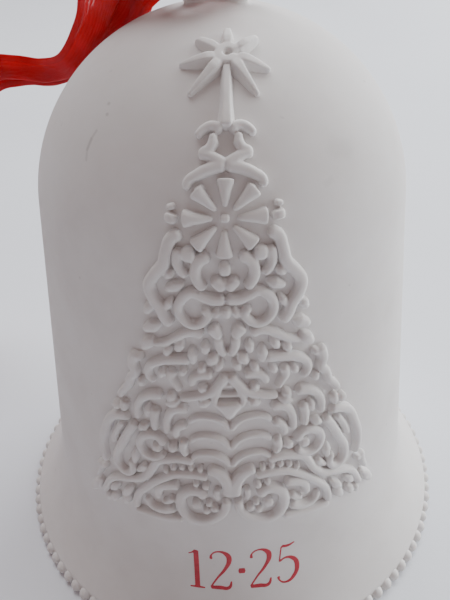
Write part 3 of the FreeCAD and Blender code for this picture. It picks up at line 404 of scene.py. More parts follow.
out = sums(tree, "SUBTRACT", base.outputs["X"], sums(tree, "MULTIPLY", lean.outputs["Z"], lift))
up = sums(tree, "ADD", base.outputs["Z"], sums(tree, "MULTIPLY", lean.outputs["X"], lift))
turn = sums(tree, "SUBTRACT", sums(tree, "DIVIDE", spot.outputs["X"], base.outputs["X"]),
            math.pi / 2)
spot = add(tree, "ShaderNodeCombineXYZ",
           {"X": sums(tree, "MULTIPLY", out, sums(tree, "COSINE", turn)),
            "Y": sums(tree, "MULTIPLY", out, sums(tree, "SINE", turn)), "Z": up})
laid = add(tree, "GeometryNodeSetPosition",
           {"Geometry": given["Geometry"], "Position": spot.outputs[0]})
end_tree(tree, laid.outputs[0], given["Material"])
lay_tree = tree

STAR_LEAN = 0.045
LEAN_START = 38.0


def stroke(points, width, tip=None):
    """One ridge through the points, of even width or running to another width at its end."""
    last = width if tip is None else tip
    count = len(points) - 1
    return [(across, rise, (width + (last - width) * index / count) / 2)
            for index, (across, rise) in enumerate(points)]


def leaf(stalk, tip, width):
    """Pointed leaf: narrow at both ends and widest before its middle."""
    shares = ((0.0, 0.35), (0.4, 1.0), (0.75, 0.75), (1.0, 0.12))
    return [(stalk[0] + (tip[0] - stalk[0]) * share, stalk[1] + (tip[1] - stalk[1]) * share,
             width * part / 2) for share, part in shares]


def bead(centre, radius):
    """Round bead: a stroke as long as it is wide."""
    reach = 1.2 * radius
    return [(centre[0] - reach, centre[1], radius), (centre[0] + reach, centre[1], radius)]


def both_sides(*strokes):
    """Strokes and their mirror images."""
    return list(strokes) + [[(-across, rise, half) for across, rise, half in one]
                            for one in strokes]


def melted(piece, grain, rounds):
    """Adds the modifiers that fuse a piece's solids into one and soften the joins."""
    fuse = piece.modifiers.new("fuse", "REMESH")
    fuse.mode = "VOXEL"
    fuse.voxel_size = grain
    soften = piece.modifiers.new("soften", "SMOOTH")
    soften.factor = 0.5
    soften.iterations = rounds


def raised(node, strokes, material=None, sides=12, height=RELIEF_HEIGHT,
           steepness=2.4, spread=1.35, end=0.5 * MM, grain=FUSE_GRAIN, flatten=1.0):
    """One motif of the tree: its strokes fused into ridges and laid on the bell.

    spread is how much wider than drawn the strokes come out of the mould.
    """
    curve = bpy.data.curves.new(node + "_strokes", "CURVE")
    curve.dimensions = "3D"
    curve.resolution_u = 10
    for points in strokes:
        spline = curve.splines.new("BEZIER")
        spline.bezier_points.add(len(points) - 1)
        for point, (across, rise, half) in zip(spline.bezier_points, points):
            across += STAR_LEAN * max(0.0, rise - LEAN_START)
            point.co = (across * MM, rise * MM, 0)
            point.radius = half * spread * MM
            point.handle_left_type = point.handle_right_type = "AUTO"
    drawing = placed(node + "_strokes", curve)
    motif = placed("moulded_" + node, bpy.data.meshes.new(node))
    run_tree(motif, stroke_tree, {"Strokes": drawing, "Sides": sides, "Height": height,
                                  "Steepness": steepness, "End": end})
    melted(motif, grain, 5)
    run_tree(motif, lay_tree, {"Meridian": meridian, "Foot Run": TREE_FOOT, "Flatten": flatten,
                               "Sink": STROKE_SINK, "Material": material or relief_bisque})
    plain(motif)
    bpy.data.objects.remove(drawing)
    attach(motif, "bell")
    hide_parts(node)
    return motif


# Star: seven ridged rays round a dimpled hub; the stem takes the place of the eighth.
STAR_RISE = 58.0
STAR_RAYS = ((90, 3.9), (32, 3.9), (144, 4.0), (-26, 5.0), (193, 4.9), (-56, 5.7), (230, 5.8))
strokes = []
for angle, length in STAR_RAYS:
    way = (math.cos(math.radians(angle)), math.sin(math.radians(angle)))
    strokes.append([(way[0] * reach, STAR_RISE + way[1] * reach, half)
                    for reach, half in ((0.9, 0.7), (2.0, 0.8), (3.2, 0.6), (length, 0.25))])
hub = [(0.8 * math.cos(math.radians(turn)), STAR_RISE + 0.8 * math.sin(math.radians(turn)), 0.7)
       for turn in range(0, 361, 45)]
raised("tree_star", strokes + [hub], sides=6, height=STAR_HEIGHT, steepness=2.0, spread=1.0)

# Stem: tapered bar from the star down to the collar.
raised("tree_stem", [[(0, 57.0, 0.6), (0, 55.5, 0.62), (0, 52.5, 0.72), (0, 50.1, 0.95)]],
       sides=6, height=STAR_HEIGHT, steepness=1.8, spread=1.0)

# Collar: curled leaves under the stem and two bands that cross.
raised("tree_collar", both_sides(
    stroke([(0.3, 50.0), (1.2, 50.5), (2.1, 50.2), (2.8, 49.4)], 0.9, 0.55),
    stroke([(1.0, 49.4), (1.5, 48.4), (2.2, 47.9), (2.0, 47.3)], 0.85, 0.6),
    stroke([(0.0, 46.7), (0.8, 47.3), (1.6, 47.7), (2.6, 47.8)], 1.0, 0.7),
    stroke([(0.0, 46.8), (1.4, 46.5), (2.7, 45.9), (3.6, 45.2), (3.7, 44.4)], 1.05, 0.6),
    leaf((2.1, 45.1), (2.9, 43.6), 0.85),
    bead((1.2, 49.3), 0.4)))

# Medallion: eight petals round a bead, with a curled bud at each side.
MEDALLION_RISE = 41.8
strokes = []
for turn in range(0, 360, 45):
    way = (1.08 * math.cos(math.radians(turn)), math.sin(math.radians(turn)))
    strokes.append([(way[0] * reach, MEDALLION_RISE + way[1] * reach, half)
                    for reach, half in ((1.05, 0.25), (2.5, 0.58), (3.85, 0.98))])
strokes += [bead((0.0, MEDALLION_RISE), 0.42)] + both_sides(
    stroke([(5.1, 42.3), (5.3, 41.2)], 1.4, 1.3),
    stroke([(4.7, 43.0), (5.7, 42.7)], 0.7))
raised("tree_medallion", strokes, end=0.3 * MM, steepness=2.4, spread=1.0)

# Scrolls below the medallion, a heart between them, and beads.
raised("tree_heart_scrolls", [bead((0.0, 36.8), 0.55)] + both_sides(
    stroke([(1.4, 38.2), (2.4, 37.7), (2.9, 36.6), (2.7, 35.4), (2.0, 34.5)], 1.0, 0.85),
    stroke([(4.4, 38.9), (4.7, 37.6), (4.4, 36.6), (3.7, 35.9)], 0.9, 0.7),
    stroke([(0.0, 34.6), (0.6, 35.1), (1.3, 35.8)], 1.1, 0.9),
    stroke([(0.0, 35.2), (0.4, 35.5)], 0.8),
    bead((3.5, 38.3), 0.6)))

# Leafy loops at each shoulder of the tree.
raised("tree_leaf_loops", both_sides(
    stroke([(4.2, 40.4), (5.2, 39.8), (5.7, 38.5), (6.1, 37.1), (7.1, 35.8), (7.8, 34.6),
            (7.6, 33.3), (6.8, 32.0), (6.4, 30.9), (5.7, 30.0)], 1.0),
    leaf((4.0, 35.2), (6.3, 34.2), 1.0),
    leaf((5.4, 33.4), (6.3, 31.7), 0.8),
    leaf((5.0, 36.6), (6.2, 35.4), 0.8),
    leaf((7.7, 32.6), (8.6, 30.8), 0.95)))

# Two open volutes joined by a bar, with a drop between them.
raised("tree_volutes", [
    stroke([(0.0, 32.4), (0.0, 31.0)], 0.9, 0.7)] + both_sides(
    stroke([(0.0, 33.4), (1.2, 33.3), (2.3, 33.7), (3.3, 34.1), (4.4, 33.3), (4.9, 32.2),
            (4.5, 30.9), (3.4, 30.2), (2.3, 30.7), (1.9, 31.7), (2.6, 32.2)], 0.95, 0.7),
    leaf((0.8, 32.4), (1.2, 30.9), 0.7)))

# Buds on short stalks, each a fat drop.
raised("tree_buds", both_sides(
    stroke([(1.7, 30.2), (1.1, 29.4), (0.9, 28.6)], 1.25, 0.8),
    stroke([(0.9, 28.9), (0.8, 27.5), (0.2, 26.4)], 0.85, 0.7),
    leaf((1.1, 26.8), (2.2, 25.1), 1.0),
    leaf((2.2, 28.4), (2.4, 26.4), 0.9),
    leaf((3.7, 27.6), (3.7, 25.0), 0.95),
    leaf((0.5, 25.9), (1.4, 24.2), 0.8)))

# Leaf sprays that make the tree's ragged edge.
raised("tree_leaf_sprays", both_sides(
    stroke([(2.4, 29.0), (3.4, 29.4), (5.0, 28.8), (6.4, 27.8), (8.0, 27.2)], 0.95, 0.6),
    stroke([(3.9, 25.8), (5.8, 25.6), (7.6, 25.0), (8.8, 24.0), (8.9, 22.9), (8.2, 22.1)],
           0.95, 0.7),
    stroke([(1.6, 23.9), (2.7, 23.9), (3.7, 23.4), (4.2, 22.3)], 0.95, 0.7),
    stroke([(5.9, 24.3), (6.3, 23.3), (5.8, 22.2), (5.4, 21.3)], 0.9, 0.6),
    stroke([(10.3, 25.6), (10.8, 23.9), (10.6, 22.8), (11.2, 22.0), (11.8, 20.5),
            (12.7, 19.4), (13.2, 18.4)], 1.0, 0.7),
    leaf((6.7, 30.2), (9.2, 28.8), 1.15),
    leaf((7.9, 28.2), (9.5, 26.2), 1.15),
    leaf((4.6, 28.4), (5.5, 26.5), 0.9),
    leaf((6.0, 27.4), (6.9, 25.9), 0.85),
    leaf((2.5, 25.4), (3.2, 23.9), 0.8),
    leaf((7.0, 24.4), (7.6, 22.7), 0.85),
    leaf((9.4, 25.6), (10.4, 24.4), 0.8),
    leaf((9.6, 22.4), (10.2, 20.9), 0.85),
    leaf((4.6, 24.9), (5.2, 23.3), 0.8)))

# Clasp: a pointed lozenge with two slots, and the long stems that leave it.
raised("tree_clasp", [
    stroke([(-0.7, 22.5), (0.7, 22.5)], 0.6),
    stroke([(-1.2, 21.1), (1.2, 21.1)], 0.5),
    stroke([(-1.3, 19.8), (1.3, 19.8)], 0.8),
    stroke([(0.0, 20.2), (0.0, 19.0), (0.0, 17.5)], 2.4, 0.3)] + both_sides(
    stroke([(0.9, 22.6), (1.4, 21.2), (1.6, 20.2), (0.7, 18.9), (0.1, 17.8)], 0.75, 0.5),
    stroke([(0.2, 23.9), (0.9, 22.7), (2.2, 21.3), (3.5, 20.8), (5.5, 20.3)], 0.95, 0.7),
    leaf((2.4, 22.6), (3.4, 21.5), 0.8),
    leaf((2.0, 20.3), (3.6, 19.5), 0.9)))

# Waves: three double arches that meet in notches.
strokes = []
for notch in (15.9, 13.05, 10.3):
    strokes += both_sides(stroke([(0.0, notch), (1.1, notch + 1.4), (2.6, notch + 1.9),
                                  (4.0, notch + 1.6), (4.7, notch + 0.8)], 0.9, 0.8))
raised("tree_waves", strokes, spread=1.0, steepness=2.0)

# Curved leaves beside the waves.
raised("tree_side_leaves", both_sides(
    stroke([(4.6, 19.0), (6.2, 18.6), (7.1, 17.3), (7.4, 14.8)], 0.95, 0.7),
    stroke([(4.9, 16.7), (6.0, 15.9), (6.4, 14.4)], 0.85, 0.7),
    stroke([(8.4, 18.4), (8.8, 16.6), (8.8, 14.9)], 0.95, 0.7),
    stroke([(7.5, 20.6), (9.5, 19.8), (10.7, 18.3), (11.0, 16.0)], 1.0, 0.7),
    stroke([(12.5, 18.2), (12.9, 16.4)], 0.9, 0.7),
    leaf((6.1, 21.2), (6.9, 19.6), 0.9),
    leaf((5.4, 20.1), (7.4, 19.0), 0.9),
    leaf((9.3, 18.8), (9.8, 16.4), 0.8),
    bead((13.8, 17.0), 0.5),
    stroke([(5.3, 14.2), (5.6, 12.9), (5.2, 11.7)], 0.9, 0.7)))

# Oval rosettes round a bead.
raised("tree_rosettes", both_sides(
    stroke([(7.7, 12.9), (8.6, 14.0), (10.0, 13.8), (11.0, 12.7), (11.0, 11.4), (10.1, 10.5),
            (8.7, 10.7), (7.8, 11.6)], 0.9, 0.75),
    bead((8.8, 12.4), 0.55),
    leaf((6.4, 13.6), (7.2, 11.9), 1.0),
    leaf((9.6, 15.6), (11.2, 14.3), 0.9)))

# Large hooked scrolls at the tree's lower corners.
raised("tree_side_scrolls", both_sides(
    stroke([(12.2, 16.0), (14.6, 14.9), (16.3, 12.0), (17.2, 8.8), (16.9, 6.4)], 1.0, 0.8),
    stroke([(11.4, 15.2), (12.5, 13.4), (13.8, 10.9), (14.9, 8.4), (14.7, 6.9), (13.6, 6.3),
            (12.6, 7.2), (12.8, 8.8)], 0.95, 0.75),
    stroke([(13.2, 14.6), (14.5, 12.4), (15.2, 10.6)], 0.7),
    leaf((11.8, 11.2), (12.2, 8.2), 0.9)))

# Long curved bands with beads between them.
raised("tree_beaded_bands", both_sides(
    stroke([(4.3, 10.9), (5.8, 11.1), (7.3, 10.8), (8.9, 10.0), (9.5, 9.0), (10.4, 7.4),
            (11.4, 6.3), (13.2, 5.4), (15.1, 4.6), (16.4, 3.6), (17.5, 1.8), (18.1, 0.4)],
           0.9, 0.8),
    stroke([(2.7, 8.6), (4.9, 8.8), (6.8, 8.4), (8.2, 7.5), (9.5, 6.4), (10.9, 4.9),
            (12.0, 3.5), (12.6, 2.0), (12.7, 0.6)], 0.9, 0.8),
    bead((3.7, 9.8), 0.36), bead((4.8, 9.9), 0.36), bead((5.9, 9.8), 0.36),
    bead((7.0, 9.5), 0.36), bead((8.0, 8.8), 0.36),
    stroke([(10.6, 8.9), (11.3, 7.9), (12.0, 7.3)], 0.75, 0.6)))

# Volutes, hooks and crescents at the tree's foot.
raised("tree_base_volutes", both_sides(
    stroke([(0.25, 5.6), (0.6, 7.9), (1.7, 9.4), (2.9, 9.8)], 1.3, 1.0),
    stroke([(3.2, 5.2), (4.2, 6.1), (5.6, 5.7), (6.4, 4.2), (6.1, 2.1), (4.9, 1.0),
            (3.3, 1.0), (1.8, 1.9), (0.9, 3.2), (0.7, 4.8)], 1.1, 0.9),
    stroke([(6.4, 6.7), (8.0, 6.3), (9.1, 5.4), (9.4, 3.7)], 1.1, 0.8),
    stroke([(7.2, 2.6), (8.7, 1.8), (10.4, 2.0), (11.1, 3.2)], 1.0, 0.7),
    stroke([(6.2, 0.9), (8.7, 0.5), (11.4, 0.3), (12.9, 0.1)], 0.9, 0.8),
    stroke([(7.3, 4.4), (7.9, 3.6), (8.9, 3.1)], 0.8, 0.6),
    stroke([(1.7, 6.8), (1.9, 5.6), (1.6, 4.7)], 0.7, 0.6),
    bead((4.4, 3.9), 0.55), bead((3.2, 2.9), 0.45), bead((2.2, 3.3), 0.45),
    bead((2.9, 4.1), 0.4), bead((3.1, 7.1), 0.45), bead((4.3, 7.4), 0.4)))

# Loose leaves at the tree's lower corners.
raised("tree_base_ends", both_sides(
    stroke([(17.9, 5.9), (18.3, 4.4), (19.2, 2.6)], 0.95, 0.6),
    leaf((12.9, 4.2), (14.9, 1.5), 1.0),
    leaf((13.5, 2.4), (15.1, 0.0), 1.1),
    leaf((15.2, 3.6), (16.9, 1.3), 0.95),
    leaf((15.6, 1.6), (16.9, -0.6), 1.0),
    leaf((17.2, 0.8), (17.8, -1.2), 0.85),
    leaf((18.2, 2.4), (20.9, -1.2), 1.2),
    leaf((16.9, 5.9), (18.0, 4.6), 0.8)))

# ---------------------------------------------------------------------------------------------
# Date. A fired transfer print on the flare: thin and thick strokes of red ceramic ink, only as
# thick as the ink itself.
# ---------------------------------------------------------------------------------------------

DATE_BASE = -11.7
DATE_HEIGHT = 6.4
HAIRLINE = 0.24
STEM = 0.72


def print_red():
    """Fired red ink: deep red, slightly glossier than the bisque round it."""
    material, tree, shader, place = new_material("fired_red_print")
    patchy = texture(tree, place, 1500, 3)
    colour = ramp(tree, patchy, [(0.3, (0.42, 0.012, 0.028)), (0.7, (0.56, 0.022, 0.045))])
    join(tree, colour, shader.inputs["Base Color"])
    rough = add(tree, "ShaderNodeMapRange",
                {0: texture(tree, place, 3000, 2), 3: 0.42, 4: 0.6}).outputs[0]
    join(tree, rough, shader.inputs["Roughness"])
    bump = add(tree, "ShaderNodeBump", {"Height": texture(tree, place, 6000, 2),
                                        "Strength": 0.3, "Distance": 0.02 * MM})
    join(tree, bump.outputs["Normal"], shader.inputs["Normal"])
    return material


def pen(points):
    """Pen stroke: (across, up, width) with shares of the numeral's height for its place."""
    return [(across * DATE_HEIGHT, up * DATE_HEIGHT, width / 2) for across, up, width in points]


NUMERALS = {
    "1": (0.46, [
        pen([(0.23, 0.99, STEM), (0.23, 0.5, STEM), (0.23, 0.01, STEM)]),
        pen([(0.06, 0.86, HAIRLINE), (0.14, 0.9, HAIRLINE), (0.23, 0.99, 0.4)]),
        pen([(0.06, 0.015, HAIRLINE), (0.23, 0.02, 0.34), (0.4, 0.015, HAIRLINE)])]),
    "2": (0.6, [
        pen([(0.08, 0.76, 0.5), (0.1, 0.9, HAIRLINE), (0.25, 0.99, 0.34), (0.42, 0.9, STEM),
             (0.46, 0.74, STEM), (0.38, 0.52, 0.5), (0.2, 0.27, 0.3), (0.05, 0.04, HAIRLINE)]),
        pen([(0.05, 0.04, 0.5), (0.25, 0.04, 0.62), (0.44, 0.04, 0.5), (0.5, 0.2, HAIRLINE)]),
        pen([(0.09, 0.74, 0.62), (0.1, 0.76, 0.62)])]),
    "5": (0.6, [
        pen([(0.12, 0.96, 0.5), (0.27, 0.94, 0.5), (0.42, 1.0, HAIRLINE)]),
        pen([(0.12, 0.96, HAIRLINE), (0.1, 0.75, HAIRLINE), (0.08, 0.53, HAIRLINE)]),
        pen([(0.08, 0.53, HAIRLINE), (0.2, 0.61, 0.34), (0.38, 0.55, 0.6), (0.48, 0.33, STEM),
             (0.4, 0.09, 0.6), (0.22, 0.0, 0.32), (0.08, 0.08, HAIRLINE), (0.06, 0.18, 0.5)])]),
    ".": (0.24, [bead((0.12 * DATE_HEIGHT, 0.45 * DATE_HEIGHT), 0.42)]),
}
strokes = []
left = -6.6
for character in "12.25":
    advance, chains = NUMERALS[character]
    for chain in chains:
        strokes.append([(left + across, DATE_BASE + up, half) for across, up, half in chain])
    left += advance * DATE_HEIGHT
raised("date_print", strokes, material=print_red(), height=0.4 * MM,
       steepness=1.0, spread=1.0, end=0.12 * MM, grain=0.06 * MM, flatten=0.2)

bpy.data.objects.remove(meridian)

# ---------------------------------------------------------------------------------------------
# Hanging loop. A rolled porcelain ring luted to the crown while both were soft, with the slip
# smoothed into a fillet round its foot and a low swelling of the crown beneath it.
# ---------------------------------------------------------------------------------------------

loop_low, loop_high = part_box("hanging_loop")
LOOP_THICKNESS = loop_high[1] - loop_low[1]
LOOP_RADIUS = (loop_high[0] - loop_low[0] - LOOP_THICKNESS) / 2
LOOP_CENTRE = loop_high[2] - LOOP_RADIUS - LOOP_THICKNESS / 2
BOSS_RISE = 0.2 * MM
BOSS_RADIUS = 15.0 * MM
BOSS_REACH = 4.6 * MM
BOSS_STEPS = 12
BOSS_SINK = 1.5 * MM
LUTING_GRAIN = 0.16 * MM


def rolled_ring(radius, thickness, centre, around=96, section=24):
    """Mesh of a ring that stands upright and faces front."""
    points, faces = [], []
    for turn in range(around):
        angle = 2 * math.pi * turn / around
        for step in range(section):
            face = 2 * math.pi * step / section
            reach = radius + thickness / 2 * math.cos(face)
            points.append((reach * math.sin(angle), thickness / 2 * math.sin(face),
                           centre + reach * math.cos(angle)))
            across, along = (step + 1) % section, (turn + 1) % around
            faces.append((turn * section + step, turn * section + across,
                          along * section + across, along * section + step))
    mesh = bpy.data.meshes.new("rolled_ring")
    mesh.from_pydata(points, [], faces)
    return mesh


def boss(radius, top, reach):
    """Mesh of a low cap on the crown, closed by a point inside the wall."""
    outline = []
    for step in range(BOSS_STEPS + 1):
        lift = math.asin(reach / radius) * step / BOSS_STEPS
        outline.append((radius * math.sin(lift), top - radius * (1 - math.cos(lift))))
    outline.append((0.0, top - BOSS_SINK))
    return turned("boss", outline, 96)


loop = placed("hanging_ring", rolled_ring(LOOP_RADIUS, LOOP_THICKNESS, LOOP_CENTRE))
base = placed("boss", boss(BOSS_RADIUS, CROWN + BOSS_RISE, BOSS_REACH))
union = loop.modifiers.new("luted", "BOOLEAN")
union.operation = "UNION"
union.object = base
melted(loop, LUTING_GRAIN, 14)
plain(loop)
bpy.data.objects.remove(base)
loop.data.polygons.foreach_set("use_smooth", [True] * len(loop.data.polygons))
loop.data.materials.clear()
loop.data.materials.append(relief_bisque)
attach(loop, "bell")
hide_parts("hanging_loop")

# ---------------------------------------------------------------------------------------------
# Clapper. A dab of cement in the crown holds a brass wire eye; an oblong link of the same wire
# hangs on it and carries the clapper's wire, its foot upset to hold a fired porcelain ball.
# ---------------------------------------------------------------------------------------------


def set_cement():
    """Rough set cement: grey buff, sandy, with darker pits."""
    material, tree, shader, place = new_material("set_cement")
    cloud = texture(tree, place, 700, 5, 0.7)
    colour = ramp(tree, cloud, [(0.3, (0.24, 0.22, 0.19)), (0.55, (0.42, 0.39, 0.34)),
                                (0.75, (0.52, 0.49, 0.44))])
    join(tree, colour, shader.inputs["Base Color"])
    shader.inputs["Roughness"].default_value = 0.95
    pits = add(tree, "ShaderNodeTexVoronoi", {"Vector": place, "Scale": 1600.0})
    height = sums(tree, "ADD", cloud, sums(tree, "MULTIPLY", pits.outputs["Distance"], 0.6))
    bump = add(tree, "ShaderNodeBump", {"Height": height, "Strength": 0.9, "Distance": 0.3 * MM})
    join(tree, bump.outputs["Normal"], shader.inputs["Normal"])
    return material


def brass_wire():
    """Drawn brass wire, dulled: warm yellow with brown tarnish and fine die lines."""
    material, tree, shader, place = new_material("drawn_brass_wire")
    tarnish = texture(tree, place, 420, 4, 0.6)
    colour = ramp(tree, tarnish, [(0.35, (0.30, 0.17, 0.06)), (0.52, (0.60, 0.40, 0.14)),
                                  (0.7, (0.78, 0.58, 0.26))])
    join(tree, colour, shader.inputs["Base Color"])
    shader.inputs["Metallic"].default_value = 1.0
    rough = add(tree, "ShaderNodeMapRange", {0: tarnish, 1: 0.3, 2: 0.7, 3: 0.5, 4: 0.24})
    join(tree, rough.outputs[0], shader.inputs["Roughness"])
    stretched = add(tree, "ShaderNodeMapping", {"Vector": place, "Scale": (1.0, 1.0, 0.08)})
    lines = texture(tree, stretched.outputs[0], 9000, 2)
    bump = add(tree, "ShaderNodeBump", {"Height": lines, "Strength": 0.35, "Distance": 0.03 * MM})
    join(tree, bump.outputs["Normal"], shader.inputs["Normal"])
    return material


wire_finish = brass_wire()
for node, finish in (("clapper_cement", set_cement()), ("clapper_eye", wire_finish),
                     ("clapper_link", wire_finish), ("clapper_wire", wire_finish),
                     ("clapper_ball", bisque("bisque_porcelain_ball"))):
    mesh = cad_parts[node].data
    mesh.materials.clear()
    mesh.materials.append(finish)

# ---------------------------------------------------------------------------------------------
# Ribbon. One length of red organza ribbon, plain woven and sheer with a closer edge on each side,
# threaded through the loop, drawn together and knotted, with both ends left as tails.
# ---------------------------------------------------------------------------------------------

RIBBON_WIDTH = 10.0
RIBBON_BEARING = math.radians(153.0)
RIBBON_THICKNESS = 0.12 * MM
RUN_STEP = 0.5
ROUTE_STEPS = 40
ACROSS_STEPS = 48
LAP_DEPTH = 0.6
LAP_REACH = 15.7 / (2 * math.pi)
LAP_EASE = 0.04 / (2 * math.pi)
DRAWN_IN = 3.0
LAID_OUT = 4.1
TABLE_GAP = 0.15
# Middle of the ribbon, the way its width points, and how wide it is spread, in millimetres. By the
# knot they are out from the bell's axis along the ribbon's bearing, to the side, and up.
FIRST_TAIL_AND_KNOT = [
    ((99.0, 5.4, 0.8), (-0.1, 1.0, 0.0), 9.6), ((93.0, 3.6, 1.3), (0.0, 1.0, 0.1), 9.4),
    ((87.0, 1.9, 1.1), (0.1, 1.0, 0.1), 7.6), ((82.6, 0.8, 1.2), (0.3, 1.0, 0.2), 5.0),
    ((79.8, 1.9, 1.7), (1.0, 0.2, 0.0), 4.6), ((78.6, 2.5, 3.0), (1.0, 0.0, 0.0), 5.0),
    ((78.0, 0.3, 5.1), (1.0, 0.0, 0.0), 5.6), ((77.4, -2.4, 3.2), (1.0, 0.0, 0.0), 5.6),
    ((76.8, -0.3, 1.0), (1.0, 0.0, 0.0), 5.4), ((76.2, 2.0, 2.6), (1.0, 0.0, 0.1), 5.0),
    ((75.4, 1.4, 5.6), (1.0, 0.3, 0.1), 4.4), ((75.0, 0.2, 11.0), (0.6, 0.8, 0.1), 5.2),
    ((74.2, -1.2, 20.0), (0.3, 1.0, 0.1), 7.6), ((70.9, -3.0, 33.0), (0.1, 0.9, 0.4), 8.4)]
# Along the two strands they are right, back and up from the middle of the bell's mouth.
STRANDS = [
    ((-53.5, 34.5, 46.5), (0.3, 0.0, 0.9), 7.4), ((-43.0, 31.0, 57.0), (0.0, 0.0, 1.0), 5.6),
    ((-34.6, 26.5, 61.3), (0.0, 0.1, 1.0), 5.2), ((-30.0, 24.0, 62.3), (0.0, 0.1, 1.0), 4.6),
    ((-25.3, 21.5, 62.6), (-0.2, 0.1, 1.0), 4.3), ((-20.6, 17.5, 64.9), (-0.6, 0.0, 0.8), 4.4),
    ((-15.8, 14.4, 69.6), (-0.9, 0.0, 0.5), 6.8), ((-13.0, 11.8, 73.2), (-1.0, 0.1, 0.2), 9.0),
    ((-11.0, 7.6, 76.9), (-1.0, -0.2, 0.3), 8.8), ((-8.6, 2.2, 79.0), (-0.7, -0.4, 0.6), 6.0),
    ((-5.2, -2.6, 79.8), (-0.2, -0.2, 1.0), 3.6), ((-1.6, -3.0, 79.6), (0.0, 0.1, 1.0), 2.8),
    ((0.0, 0.0, 79.3), (0.0, 0.0, 1.0), 2.4), ((-0.7, 3.0, 79.1), (0.0, 0.0, 1.0), 2.8),
    ((-4.2, 6.8, 78.2), (-0.1, 0.0, 1.0), 3.6), ((-9.4, 11.4, 75.4), (-0.6, 0.1, 0.8), 5.4),
    ((-13.2, 14.8, 71.4), (-0.8, 0.1, 0.6), 6.4), ((-17.2, 17.6, 67.2), (-0.8, 0.1, 0.6), 5.4),
    ((-21.6, 20.6, 63.8), (-0.4, 0.1, 0.9), 3.8), ((-26.4, 24.4, 61.8), (-0.1, 0.1, 1.0), 3.4),
    ((-31.0, 27.4, 61.1), (0.0, 0.1, 1.0), 4.2), ((-36.0, 30.0, 59.8), (0.1, 0.1, 1.0), 5.0),
    ((-44.0, 33.6, 55.0), (0.2, 0.1, 1.0), 6.6), ((-55.0, 37.2, 41.0), (0.6, 0.2, 0.7), 8.4)]
SECOND_TAIL = [
    ((72.4, -5.8, 26.0), (-0.3, -1.0, -0.2), 8.2), ((75.8, -3.0, 14.0), (-0.5, -0.9, -0.1), 5.8),
    ((77.2, -0.8, 6.2), (-0.7, -0.7, -0.1), 3.6), ((78.6, 0.0, 3.0), (-0.3, -0.9, -0.2), 3.4),
    ((81.4, -0.2, 2.8), (-0.1, -1.0, -0.2), 4.4), ((86.0, -1.6, 2.6), (0.0, -1.0, -0.1), 7.4),
    ((92.5, -3.6, 2.2), (0.0, -1.0, 0.1), 9.4), ((99.0, -6.0, 2.5), (0.1, -1.0, 0.0), 9.6)]

out_way = Vector((math.cos(RIBBON_BEARING), math.sin(RIBBON_BEARING), 0))
side_way = Vector((-out_way.y, out_way.x, 0))
up_way = Vector((0, 0, 1))


def blended(a, b, c, d, share):
    """Smooth value between b and c, with a and d as its neighbours."""
    return 0.5 * (2 * b + (c - a) * share + (2 * a - 5 * b + 4 * c - d) * share ** 2
                  + (3 * b - a - 3 * c + d) * share ** 3)


def by_knot(rows):
    """The same rows measured from the middle of the bell's mouth."""
    return [(out_way * out + side_way * side + up_way * up,
             out_way * way[0] + side_way * way[1] + up_way * way[2], spread)
            for (out, side, up), way, spread in rows]


def ribbon_rows():
    """Middle, width direction and spread of the ribbon at even steps of its run, in mm."""
    strands = [(Vector(middle), Vector(way), spread) for middle, way, spread in STRANDS]
    rows = by_knot(FIRST_TAIL_AND_KNOT) + strands + by_knot(SECOND_TAIL)
    rows = rows[:1] + rows + rows[-1:]
    fine = []
    for a, b, c, d in zip(rows, rows[1:], rows[2:], rows[3:]):
        for step in range(ROUTE_STEPS):
            fine.append([blended(*ends, step / ROUTE_STEPS) for ends in zip(a, b, c, d)])
    fine.append(list(rows[-1]))
    even, walked = [fine[0]], 0.0
    for before, after in zip(fine, fine[1:]):
        walked += (after[0] - before[0]).length
        if walked >= RUN_STEP:
            even.append(after)
            walked = 0.0
    return even


def folded(share, run, spread):
    """How far one thread lies to the side of the ribbon's middle and off its face, in mm.

    Where it is spread, the ribbon is lapped over itself lengthwise; where it is drawn in, it goes
    into fine pleats. share runs across the ribbon and run along it.
    """
    pleats = 1.0 + 3.0 * (1.0 - spread / RIBBON_WIDTH) ** 2
    depth = math.sqrt(max(RIBBON_WIDTH ** 2 - spread ** 2, 0.0)) / (4 * pleats)
    drift = 0.7 * math.sin(run / 23.0) + 0.3 * math.sin(run / 9.0 + 1.0)
    from_middle = share - 0.5
    pleat = math.sin(2 * math.pi * pleats * from_middle + drift)
    pleat += 0.12 * math.sin(5.3 * math.pi * share - run / 5.0)
    lapped = min(max((spread - DRAWN_IN) / (LAID_OUT - DRAWN_IN), 0.0), 1.0)
    lap = LAP_REACH - LAP_EASE * spread ** 2
    layer = LAP_DEPTH * math.sin(math.pi * from_middle)
    ruck = noise.noise(Vector((share * 2.4, run / 5.0, 4.7))) * 0.35
    ruck += noise.noise(Vector((share * 7.0, run / 1.6, 9.1))) * 0.06
    edge = from_middle * spread - lapped * lap * math.sin(2 * math.pi * from_middle)
    return edge, lapped * layer + (1.0 - lapped) * depth * pleat + ruck


